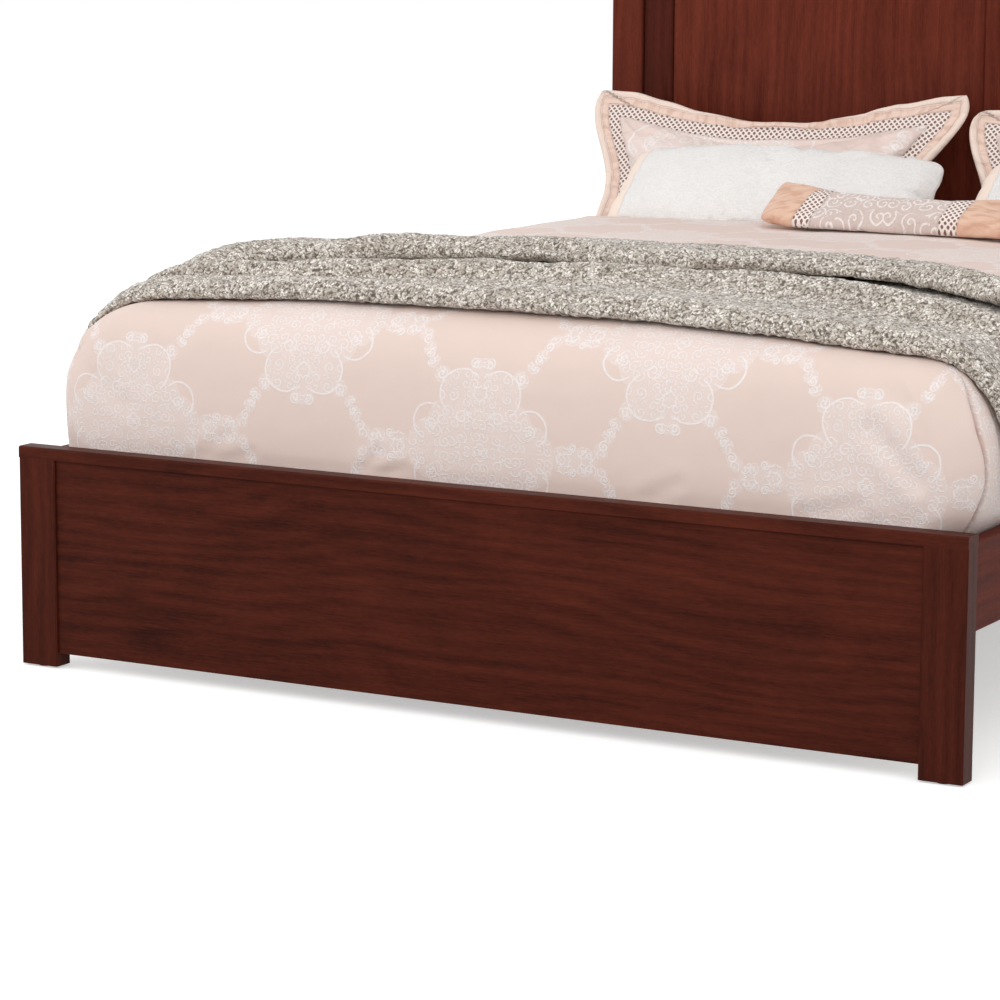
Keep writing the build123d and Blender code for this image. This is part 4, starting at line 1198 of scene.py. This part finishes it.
    def build(self) -> None:
        """Make the comforter."""
        outer, as_front, as_side = self.outside()
        inner = self.inside()
        rows, columns = outer.shape[:2]
        seam = inner + (outer - inner) * 0.5
        outer, inner = self.head_round(outer, seam), self.head_round(inner, seam)
        ends = np.array([0, columns - 1])
        inner[:, ends] = outer[:, ends]
        last = (rows - 1) * columns + np.arange(columns - 1)
        hem = np.stack([last, last + 1, last + 1 + rows * columns, last + rows * columns], axis=1)[:, ::-1]
        faces = np.vstack([grid_faces(rows, columns), grid_faces(rows, columns, flip=True) + rows * columns, hem])
        column = np.minimum(faces % columns, np.roll(faces, 1, axis=1) % columns).min(axis=1)
        sided = np.repeat(self.path[2][column], 4)[:, None]
        front_flat, side_flat = (np.vstack([flat.reshape(-1, 2)] * 2)[faces.ravel()] for flat in (as_front, as_side))
        points = np.vstack([outer.reshape(-1, 3), inner.reshape(-1, 3)])
        piece = add_mesh("comforter_quilt", points, faces, {"cloth": np.where(sided, side_flat, front_flat)})
        weld(piece)
        dress(piece, DamaskFinish("comforter_damask", shift=(-0.017, 0.395)).build(), "comforter")
        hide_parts("comforter")

    def across(self, y: float, count: int) -> tuple[Grid, Grid, Grid]:
        """The outer line across the bed at one place along it.

        Args:
            y: the place along the bed.
            count: how many points.

        Returns:
            The run from the middle, to the left negative, the points as X and Z, and the outward normals.
        """
        left, right, _ = self.falls
        x = np.linspace(left[0, 0], right[0, 0], 260)
        z = self.top(x, np.full_like(x, y))
        fade = 1 - soft_step(np.linspace(0, 1, self.fall_steps), 0, 0.34)
        left_line = np.column_stack([left[:, 0], left[:, 1] + fade * (z[0] - left[0, 1])])
        right_line = np.column_stack([right[:, 0], right[:, 1] + fade * (z[-1] - right[0, 1])])
        line = np.vstack([left_line[:0:-1], np.column_stack([x, z]), right_line[1:]])
        run = run_along(line)
        run = run - np.interp(0.0, line[:, 0], run)
        places = np.linspace(run[0], run[-1], count)
        even = at_runs(line, run, places)
        way = np.gradient(even, axis=0)
        way /= np.linalg.norm(way, axis=1)[:, None]
        return places, even, np.stack([-way[:, 1], way[:, 0]], axis=1)


def apply_modifiers(piece: Piece) -> None:
    """Turn a piece's modifiers into mesh."""
    shaped = bpy.data.meshes.new_from_object(piece.evaluated_get(bpy.context.evaluated_depsgraph_get()))
    piece.modifiers.clear()
    piece.data = shaped


@dataclass
class Throw:
    """A thick looped throw laid across the foot of the comforter in two long overlapping folds."""

    quilt: Comforter
    left: float = -0.802
    upper_left: float = -0.872
    right: float = 0.935
    thickness: float = 0.0072
    lowest: float = 0.0046
    lump: float = 0.0026
    columns: int = 340
    rows: int = 280
    stations: tuple = (-0.86, -0.80, -0.70, -0.58, -0.40, -0.12, 0.13, 0.26, 0.47, 0.65, 0.80, 0.95)
    hem_line: tuple = (-0.940, -0.948, -0.951, -0.953, -0.955, -0.956, -0.956, -0.956, -0.956, -0.956, -0.955, -0.950)
    crest_line: tuple = (-0.850, -0.846, -0.842, -0.835, -0.830, -0.740, -0.680, -0.675, -0.690, -0.735, -0.775, -0.790)
    edge_line: tuple = (-0.780, -0.770, -0.735, -0.620, -0.500, -0.490, -0.525, -0.420, -0.415, -0.520, -0.620, -0.680)
    back_line: tuple = (-0.440, -0.430, -0.350, -0.265, -0.215, -0.195, -0.180, -0.175, -0.200, -0.330, -0.450, -0.520)
    wander: Ripple = field(default_factory=lambda: Ripple(5, 0.22, 0.9, 12))
    billow: Ripple = field(default_factory=lambda: Ripple(6, 0.14, 0.6, 16))
    crumple: Ripple = field(default_factory=lambda: Ripple(7, 0.05, 0.16, 20))

    def knots(self) -> list[tuple[str, str, float, float, float]]:
        """The folded section: two lines, the share of the way from one to the other, an offset and a height."""
        hem, crest, edge, back = "hem", "crest", "edge", "back"
        return [
            (hem, hem, 0, 0.150, 0.006), (hem, hem, 0, 0.060, 0.005), (hem, hem, 0, 0.010, 0.008),
            (hem, hem, 0, -0.005, 0.017), (hem, hem, 0, 0.008, 0.030), (hem, hem, 0, 0.036, 0.034),
            (hem, crest, 0.45, 0.0, 0.018), (hem, crest, 0.80, 0.0, 0.019), (hem, crest, 1.0, -0.004, 0.045),
            (crest, edge, 0.0, 0.018, 0.044), (crest, edge, 0.30, 0.010, 0.019), (crest, edge, 0.62, 0.0, 0.011),
            (crest, edge, 0.90, 0.0, 0.008),
            (edge, edge, 0, 0.050, 0.007), (edge, edge, 0, 0.086, 0.010), (edge, edge, 0, 0.096, 0.017),
            (edge, edge, 0, 0.070, 0.022), (edge, edge, 0, 0.022, 0.021), (edge, edge, 0, -0.006, 0.029),
            (edge, edge, 0, 0.004, 0.042), (edge, back, 0.0, 0.034, 0.050), (edge, back, 0.36, 0.010, 0.037),
            (edge, back, 0.62, 0.0, 0.030), (edge, back, 0.86, 0.0, 0.031), (edge, back, 1.0, 0.0, 0.019),
            (back, back, 0, -0.018, 0.007), (back, back, 0, -0.090, 0.005),
        ]

    def base(self) -> tuple[Grid, Grid, Grid]:
        """The comforter's outside under the throw.

        Returns:
            The places along the bed, the runs across it, and at each of them X, Z and the normal's X and Z.
        """
        along = np.linspace(-1.0, 0.05, 64)
        across = np.linspace(-0.98, 1.06, 420)
        front = self.quilt.falls[2]
        rows = []
        for y in along:
            run, line, normal = self.quilt.across(max(y, front[0, 0]), 900)
            lowered = np.interp(-y, -front[:, 0], front[:, 1]) if y < front[0, 0] else front[0, 1]
            drop = (front[0, 1] - lowered) * soft_step(line[:, 1], 0.54, 0.585)
            rows.append(at_runs(np.column_stack([line[:, 0], line[:, 1] - drop, normal]), run, across))
        return along, across, np.array(rows)

    def lay(self, run: Grid, y: Grid, height: Grid) -> Grid:
        """Places at some height over the comforter.

        Args:
            run: runs across the bed, from its middle.
            y: places along the bed.
            height: heights over the comforter, square to it.

        Returns:
            The points.
        """
        along, across, rows = self.base()
        at_y = np.clip((y - along[0]) / (along[1] - along[0]), 0, len(along) - 1.001)
        at_run = np.clip((run - across[0]) / (across[1] - across[0]), 0, len(across) - 1.001)
        i, j = at_y.astype(int), at_run.astype(int)
        p, q = (at_y - i)[..., None], (at_run - j)[..., None]
        low = rows[i, j] * (1 - q) + rows[i, j + 1] * q
        high = rows[i + 1, j] * (1 - q) + rows[i + 1, j + 1] * q
        x, z, normal_x, normal_z = np.moveaxis(low * (1 - p) + high * p, -1, 0)
        return np.stack([x + normal_x * height, y, z + normal_z * height], axis=-1)

    def section(self, run: float) -> Grid:
        """The folded section at one run across the bed: Y and height of each point."""
        lines = {"hem": self.hem_line, "crest": self.crest_line, "edge": self.edge_line, "back": self.back_line}
        knots = []
        for order, (name, other, share, behind, height) in enumerate(self.knots()):
            stray = float(self.wander.at(np.array(run), np.array(0.13 * order))) * 0.009
            start, end = (float(np.interp(run, self.stations, lines[each])) for each in (name, other))
            place = start + (end - start) * share + behind
            small = 1 + 0.20 * float(self.billow.at(np.array(run), np.array(0.21 * order)))
            stray *= 0.25 if name == "hem" and order < 6 else 1.0
            knots.append((place + stray, height * (small if height > 0.012 else 1.0)))
        return smooth_path(knots, self.rows)

    def build(self) -> None:
        """Make the throw."""
        runs = np.linspace(0, 1, self.columns)
        share = np.linspace(0, 1, self.rows)[:, None]
        sections = np.stack([self.section(self.left + (self.right - self.left) * u) for u in runs], axis=1)
        y, height = sections[..., 0], sections[..., 1]
        upper = soft_step(share, 0.50, 0.66)
        left = self.left + (self.upper_left - self.left) * upper + 0.008 * np.sin(share * 23.0)
        right = self.right + 0.014 * np.sin(share * 7.0) + 0.008 * np.sin(share * 19.0 + 1.0)
        run = left + (right - left) * runs[None, :]
        swollen = 1 + (1.3 * upper - 0.4) * ridge(run - self.left, 0.14)
        pressed = 1 - 0.38 * soft_step(run, 0.66, 0.86)
        height = height * swollen * pressed + 0.0022 * self.billow.at(run, y) * soft_step(height, 0.006, 0.02)
        height = height + 0.0012 * self.crumple.at(run, y) * soft_step(height, 0.006, 0.02)
        points = self.lay(run, y, np.maximum(height, self.lowest))
        long = float(run_along(points[:, self.columns // 2])[-1])
        wide = float(run_along(points[self.rows // 2])[-1])
        flat = np.stack(np.broadcast_arrays(runs[None, :] * wide, share * long), axis=-1).reshape(-1, 2)
        piece = add_mesh("throw_folds", points.reshape(-1, 3), grid_faces(self.rows, self.columns), {"cloth": flat})
        shell = piece.modifiers.new("thickness", "SOLIDIFY")
        shell.thickness = self.thickness
        shell.offset = 0.0
        shell.use_even_offset = False
        apply_modifiers(piece)
        self.roughen(piece)
        dress(piece, LoopFinish().build(), "throw")
        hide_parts("throw")
        LOG.info("throw: %.2f by %.2f m of cloth", wide, long)

    def roughen(self, piece: Piece) -> None:
        """Raise the yarn's lumps on the surface."""
        places = points_of(piece.data)
        normals = np.array([vertex.normal[:] for vertex in piece.data.vertices])
        lumps = np.array([
            noise.noise(Vector(place * 90.0)) + 0.7 * noise.noise(Vector(place * 200.0)) for place in places
        ])
        set_points(piece.data, places + normals * (self.lump * lumps)[:, None])


def roll(share: Grid) -> Grid:
    """The round top of a roll: 0 at shares 0 and 1, and 1 halfway."""
    return np.sqrt(np.clip(np.sin(np.pi * np.clip(share, 0, 1)), 0, 1))


@dataclass
class Cushion:
    """A stuffed cushion that leans back: a front and a back that meet in a seam. As it stands, a pillow."""

    name: str
    node: str
    centre: float
    width: float
    height: float
    foot: float = 0.6095
    base: float = 0.5885
    lean: float = 38
    thickness: float = 0.100
    floor: float = 0.5705
    slot: str = "nubby_pillow"
    columns: int = 150
    rows: int = 90
    seed: int = 1
    corner: float = 0.020
    pressure: float = 3.5
    frames: int = 14
    reach: float = 0.012
    clear: float = 0.0012
    flattening: float = 0.006

    def outline(self, u: Grid, v: Grid) -> tuple[Grid, Grid]:
        """Flat places for shares across (-1 to 1) and up (0 to 1)."""
        up = v * 2 - 1
        both = np.abs(u) ** 5 * np.abs(up) ** 5
        return (
            u * self.width / 2 * (1 - self.corner / self.width * 2 * both),
            self.height / 2 + up * self.height / 2 * (1 - self.corner / self.height * 2 * both),
        )

    def inward(self, u: Grid, v: Grid) -> Grid:
        """Distance in from the nearest seam."""
        side = (1 - np.abs(u)) * self.width / 2
        return np.minimum(side, np.minimum(v, 1 - v) * self.height)

    def swell(self, u: Grid, v: Grid) -> Grid:
        """Half of the thickness."""
        up = np.abs(v * 2 - 1)
        full = ((1 - np.abs(u) ** 3.2) * (1 - up**2.3)).clip(0) ** 0.5
        return self.thickness / 2 * full

    def middle(self, u: Grid, v: Grid) -> Grid:
        """How far the seam plane bends out."""
        return 0.003 * Ripple(self.seed + 50, 0.12, 0.5, 10).at(u * self.width / 2, v * self.height)

    def along_seam(self, u: Grid, v: Grid) -> Grid:
        """Run along the nearest seam, which waves are drawn over."""
        return np.where(np.abs(u) > np.abs(v * 2 - 1), v * self.height + 3 * np.sign(u), u * self.width / 2)

    def puckers(self, u: Grid, v: Grid) -> Grid:
        """Small gathers along the seams, from -1 to 1."""
        inward = self.inward(u, v)
        ripple = Ripple(self.seed, 0.016, 0.05, 24)
        return ripple.at(self.along_seam(u, v), inward * 0.25) * ridge(inward - 0.012, 0.026)

    def to_world(self, x: Grid, up: Grid, out: Grid) -> Grid:
        """Places on the bed for places in the cushion's plane."""
        angle = math.radians(self.lean)
        return np.stack([
            self.centre + x,
            self.foot + up * math.cos(angle) - out * math.sin(angle),
            self.base + up * math.sin(angle) + out * math.cos(angle),
        ], axis=-1)

    def rim(self, u: Grid, v: Grid, x: Grid, y: Grid) -> Grid:
        """Run along the nearest seam and distance in from it, for banded finishes."""
        along = np.where(np.abs(u) > np.abs(v * 2 - 1), y, x)
        return np.stack([along, self.inward(u, v)], axis=-1)

    def held(self, u: Grid, v: Grid) -> Grid:
        """How firmly each place stays during the cloth settling, 0 to 1."""
        return 0.0 * u * v

    def material(self) -> Material:
        """The cushion's finish."""
        return NubbyFinish().build()

    def build(self) -> None:
        """Make the cushion."""
        u, v = np.meshgrid(np.linspace(-1, 1, self.columns), np.linspace(0, 1, self.rows))
        u = np.sign(u) * (1 - (1 - np.abs(u)) ** 1.15)
        x, y = self.outline(u, v)
        inward, puckers = self.inward(u, v), self.puckers(u, v)
        half = self.swell(u, v) * (1 + 0.10 * puckers) + 0.0012 * puckers * (inward > 0)
        half = np.where(inward > 1e-6, half, 0.0)
        mid = self.middle(u, v)
        front, back = (self.to_world(x, y, mid + side).reshape(-1, 3) for side in (half, -half))
        faces = np.vstack([grid_faces(self.rows, self.columns), grid_faces(self.rows, self.columns, True) + len(front)])
        cloth = np.vstack([np.stack([x, y], -1).reshape(-1, 2)] * 2)
        rim = np.vstack([self.rim(u, v, x, y).reshape(-1, 2)] * 2)
        piece = add_mesh(self.name, np.vstack([front, back]), faces, {"cloth": cloth, "rim": rim})
        group = piece.vertex_groups.new(name="held")
        for number, weight in enumerate(np.tile(self.held(u, v).ravel(), 2)):
            group.add([number], float(weight), "REPLACE")
        weld(piece, 2e-6)
        self.settle(piece)
        self.flatten_foot(piece)
        dress(piece, self.material(), self.node)
        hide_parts(self.node)

    def flatten_foot(self, piece: Piece) -> None:
        """Press what would sink into the bedding flat, just over it."""
        places = points_of(piece.data)
        low, soft, z = self.floor + self.clear, self.flattening, places[:, 2]
        places[:, 2] = np.where(z < low + soft, low + soft * np.exp((z - low - soft) / soft), z)
        set_points(piece.data, places)

    def settle(self, piece: Piece) -> None:
        """Let the cover find its wrinkles around the stuffing."""
        start = points_of(piece.data)
        cloth = piece.modifiers.new("settle", "CLOTH")
        wanted = {
            "quality": 5, "mass": 0.25, "tension_stiffness": 18, "compression_stiffness": 18, "shear_stiffness": 8,
            "bending_stiffness": 0.35, "use_pressure": True, "uniform_pressure_force": self.pressure,
            "shrink_min": -0.035, "vertex_group_mass": "held",
        }
        for name, value in wanted.items():
            setattr(cloth.settings, name, value)
        cloth.settings.effector_weights.gravity = 0
        cloth.collision_settings.use_collision = False
        cloth.point_cache.frame_start = 1
        cloth.point_cache.frame_end = self.frames
        scene = bpy.context.scene
        for number in range(1, self.frames + 1):
            scene.frame_set(number)
        shaped = piece.evaluated_get(bpy.context.evaluated_depsgraph_get())
        moved = points_of(shaped.data)
        piece.modifiers.clear()
        shift = moved - start
        far = np.linalg.norm(shift, axis=1)
        capped = self.reach * np.tanh(far / self.reach)
        set_points(piece.data, start + shift * (capped / np.maximum(far, 1e-9))[:, None])
        scene.frame_set(1)


@dataclass
class Sham(Cushion):
    """A pillow sham with a broad flange: puffed border, lace band and damask centre."""

    foot: float = 0.7759
    base: float = 0.5834
    lean: float = 56
    slot: str = "quilted_sham"
    flange: float = 0.064
    border: float = 0.018
    taper: float = 0.080
    sag: float = 0.060
    corner: float = 0.026
    crown_at: float = 0.06
    left_shift: Triple = (0.0, 0.0, 0.0)
    right_shift: Triple = (0.0, 0.0, 0.0)

    def half_at(self, v: Grid) -> Grid:
        """Half width at a share of the height."""
        return self.width / 2 - self.taper + self.taper * soft_step(v, 0.20, 0.92) ** 1.15

    def dip(self, u: Grid) -> Grid:
        """How far the top edge hangs below its corners."""
        return self.sag * (0.5 + 0.5 * np.cos(math.pi * u)) ** 0.85

    def corner_shift(self, u: Grid, v: Grid, axis: int) -> Grid:
        """How far the upper corners are moved sideways (0), up (1) or out (2)."""
        left = np.clip(-u, 0, 1) ** 3 * v**2 * self.left_shift[axis]
        return left + np.clip(u, 0, 1) ** 3 * v**2 * self.right_shift[axis]

    def outline(self, u: Grid, v: Grid) -> tuple[Grid, Grid]:
        """Flat places: flared upper corners and a sagging top edge."""
        x = u * self.half_at(v)
        wave = 0.0035 * Ripple(self.seed + 9, 0.07, 0.25, 12).at(x, 0 * x) * v**4
        blunt = self.corner * np.abs(u) ** 10 * v**8
        return (
            x - np.sign(u) * blunt + self.corner_shift(u, v, 0),
            v * (self.height - self.dip(u) + wave) - blunt + self.corner_shift(u, v, 1),
        )

    def rim(self, u: Grid, v: Grid, x: Grid, y: Grid) -> Grid:
        """The bands run closer to the edge in the middle of the top, where the border rolls back."""
        bands = super().rim(u, v, x, y)
        rolled = 0.021 * ridge(u - self.crown_at, 0.42) * soft_step(v, 0.5, 0.8)
        return bands + np.stack([0 * rolled, rolled], axis=-1)

    def inward(self, u: Grid, v: Grid) -> Grid:
        """Distance in from the nearest edge."""
        side = (1 - np.abs(u)) * self.half_at(v)
        return np.minimum(side, np.minimum(v, 1 - v) * (self.height - self.dip(u)))

    def swell(self, u: Grid, v: Grid) -> Grid:
        """Half of the thickness: puffed border, thin lace and a stuffed centre."""
        inward = self.inward(u, v)
        band = 0.0042 * roll((inward - self.border) / 0.018)
        lace = np.maximum(0.0016 * soft_step(inward, 0, 0.004), band)
        rise = np.clip((inward - self.flange) / 0.105, 0, 1)
        stuffed = (self.thickness / 2 - 0.004) * np.sin(rise * np.pi / 2) ** 0.75
        return np.maximum(0.0070 * roll(inward / self.border), lace) + stuffed

    def middle(self, u: Grid, v: Grid) -> Grid:
        """The flange waves out of plane, and its upper corners turn forward."""
        loose = 1 - soft_step(self.inward(u, v), 0.02, self.flange + 0.02)
        wave = Ripple(self.seed + 31, 0.06, 0.22, 14).at(u * self.width / 2, v * self.height)
        corner = np.abs(u) ** 8 * v**6
        return 0.0050 * loose * wave + 0.020 * corner - 0.006 * loose + self.corner_shift(u, v, 2)

    def puckers(self, u: Grid, v: Grid) -> Grid:
        """Tucks in the puffed border and gathers where the stuffing starts."""
        inward, along = self.inward(u, v), self.along_seam(u, v)
        border = Ripple(self.seed, 0.018, 0.05, 26).at(along, inward * 0.3)
        inner = Ripple(self.seed + 3, 0.03, 0.09, 18).at(along, inward * 0.3)
        off_mitre = soft_step(np.abs(np.abs(u) - np.abs(v * 2 - 1)), 0.0, 0.09)
        tucks = 3.6 * border * ridge(inward - 0.018, 0.014)
        return (tucks + 1.2 * inner * ridge(inward - 0.090, 0.026)) * off_mitre

    def held(self, u: Grid, v: Grid) -> Grid:
        """The flange stays; the centre is free."""
        return 1 - soft_step(self.inward(u, v), self.flange, self.flange + 0.006)

    def material(self) -> Material:
        """The sham's finish."""
        return BandedFinish(f"quilted_{self.node}", roll_to=self.border, lace_to=self.flange).build()


@dataclass
class Lumbar(Cushion):
    """A small cushion with quilted peach ends, a lace band inside each and a damask centre."""

    foot: float = 0.4260
    base: float = 0.6388
    lean: float = 20
    thickness: float = 0.062
    floor: float = 0.6320
    slot: str = "quilted_cushion"
    end_width: float = 0.097
    band_width: float = 0.036
    sag: float = 0.100
    ear: float = 0.026
    right_end_more: float = 0.050
    left_slant: float = 0.22
    right_slant: float = 0.14

    def outline(self, u: Grid, v: Grid) -> tuple[Grid, Grid]:
        """Flat places: the upper corners stand out like ears and the top edge sags."""
        x, y = super().outline(u, v)
        return x + self.ear * np.sign(u) * np.abs(u) ** 6 * v**2, y - self.sag * (1 - np.abs(u) ** 2.4) * v**2

    def rim(self, u: Grid, v: Grid, x: Grid, y: Grid) -> Grid:
        """Run along an end and distance in from it, on a slanted line."""
        rise = y - self.height / 2
        left_end = self.width / 2 + x - self.left_slant * rise
        right_end = self.width / 2 - x + self.right_slant * rise - self.right_end_more
        return np.stack([y, np.where(x < 0, left_end, right_end)], axis=-1)

    def puckers(self, u: Grid, v: Grid) -> Grid:
        """Deep tucks in the peach ends, from the seam at the band outwards."""
        seams = super().puckers(u, v)
        along = v * self.height + 0.6 * np.sign(u)
        tucks = Ripple(self.seed + 4, 0.022, 0.06, 20).at(along, u * 0.06)
        at_end = soft_step(np.abs(u) * self.width / 2, self.width / 2 - self.end_width, self.width / 2 - 0.06)
        fade = np.clip(self.inward(u, v) / 0.02, 0, 1)
        off_crease = (u - 0.80) * self.width / 2 - 0.35 * (v - 0.5) * self.height
        crease = ridge(off_crease, 0.006) * soft_step(v, 0.08, 0.3)
        return seams * 0.7 + (1.4 * tucks * at_end - 3.0 * crease) * fade

    def material(self) -> Material:
        """The cushion's finish."""
        # The darker peach is painted shade in the tucks of the peach ends.
        return BandedFinish(
            "quilted_lumbar", peach=tone(226, 188, 164), peach_fold_shade=tone(206, 160, 134), roll_to=-0.2,
            lace_from=self.end_width, lace_to=self.end_width + self.band_width, net_pitch=0.0115,
            ground=tone(200, 178, 168), figure=tone(242, 233, 230), shift=(0.02, 0.02),
        ).build()


@dataclass
class Studio:
    """A white sweep, soft lights and the camera."""

    lens: float = 131.43
    place: Triple = (2.718, -5.8455, 1.2824)
    yaw: float = 0.506505
    pitch: float = 0.168667
    roll: float = -0.004544
    floor_half: float = 14.0
    world: float = 0.94
    lamps: tuple = (
        ("key", (1.6, -5.0, 3.0), (3.0, 2.4), 56, (0, -0.2, 0.4)),
        ("fill", (-3.8, -3.4, 2.4), (2.6, 2.2), 36, (0, -0.5, 0.4)),
    )

    def camera(self) -> None:
        """Place the camera."""
        data = bpy.data.cameras.new("camera")
        data.lens = self.lens
        data.sensor_width = 36.0
        data.clip_end = 100.0
        ahead = Vector((
            -math.sin(self.yaw) * math.cos(self.pitch), math.cos(self.yaw) * math.cos(self.pitch),
            -math.sin(self.pitch),
        ))
        right = Vector((math.cos(self.yaw), math.sin(self.yaw), 0.0))
        down = ahead.cross(right)
        turn_right = right * math.cos(self.roll) + down * math.sin(self.roll)
        turn_down = down * math.cos(self.roll) - right * math.sin(self.roll)
        camera = bpy.data.objects.new("camera", data)
        axes = Matrix((turn_right, -turn_down, -ahead)).transposed().to_4x4()
        camera.matrix_world = Matrix.Translation(self.place) @ axes
        bpy.context.scene.collection.objects.link(camera)
        bpy.context.scene.camera = camera

    def lamp(self, name: str, place: Triple, size: tuple[float, float], power: float, aim: Triple) -> None:
        """A rectangular soft light.

        Args:
            name: its name.
            place: where it is.
            size: its width and height.
            power: its watts.
            aim: the point it faces.
        """
        data = bpy.data.lights.new(name, "AREA")
        data.shape = "RECTANGLE"
        data.size, data.size_y = size
        data.energy = power
        lamp = bpy.data.objects.new(name, data)
        lamp.location = place
        lamp.rotation_euler = (Vector(aim) - Vector(place)).to_track_quat("-Z", "Y").to_euler()
        bpy.context.scene.collection.objects.link(lamp)

    def sky(self) -> None:
        """A soft grey world that the camera sees as white."""
        world = bpy.data.worlds.new("studio")
        world.use_nodes = True
        s = NodeSketch(world.node_tree)
        soft, white = (s.node("Background", {"Color": WHITE, "Strength": power}) for power in (self.world, 1.0))
        mixed = s.node("MixShader", {0: s.seen(), 1: soft.outputs[0], 2: white.outputs[0]})
        output = next(node for node in world.node_tree.nodes if node.type == "OUTPUT_WORLD")
        s.fill(output, {"Surface": mixed.outputs[0]})
        bpy.context.scene.world = world

    def build(self) -> None:
        """Set up the studio."""
        half = self.floor_half
        corners = np.array([(-half, -half, 0), (half, -half, 0), (half, half, 0), (-half, half, 0)], float)
        floor = add_mesh("floor", corners, np.array([(0, 1, 2, 3)]), {"cloth": corners[:, :2]})
        floor.data.materials.append(FloorFinish().build())
        self.sky()
        for lamp in self.lamps:
            self.lamp(*lamp)
        self.camera()
        bpy.context.scene.view_settings.view_transform = "Standard"


@dataclass
class Bed:
    """The whole dressed bed."""

    frame: BedFrame = field(default_factory=BedFrame)
    mattress: Mattress = field(default_factory=Mattress)
    quilt: Comforter = field(default_factory=Comforter)
    cushions: tuple[Cushion, ...] = (
        Sham("sham_left_cover", "sham_left", -0.416, 0.812, 0.322, seed=3,
             left_shift=(-0.008, 0.012, 0.0), right_shift=(0.044, 0.026, 0.014)),
        Sham("sham_right_cover", "sham_right", 0.409, 0.806, 0.318, seed=17,
             left_shift=(0.006, -0.002, -0.004), right_shift=(0.016, 0.010, 0.0)),
        Cushion("pillow_left_cover", "pillow_left", -0.306, 0.660, 0.254, seed=5),
        Cushion("pillow_right_cover", "pillow_right", 0.455, 0.670, 0.254, seed=23),
        Lumbar("lumbar_cover", "lumbar_cushion", 0.072, 0.560, 0.200, seed=11),
    )

    def build(self) -> None:
        """Make and dress every part."""
        self.frame.dress_all()
        self.mattress.build()
        self.quilt.build()
        Throw(self.quilt).build()
        for cushion in self.cushions:
            cushion.build()


def main() -> None:
    """Build the looks."""
    logging.basicConfig(level=logging.INFO, format="%(message)s")
    Bed().build()
    Studio().build()


if __name__ == "__main__":
    main()
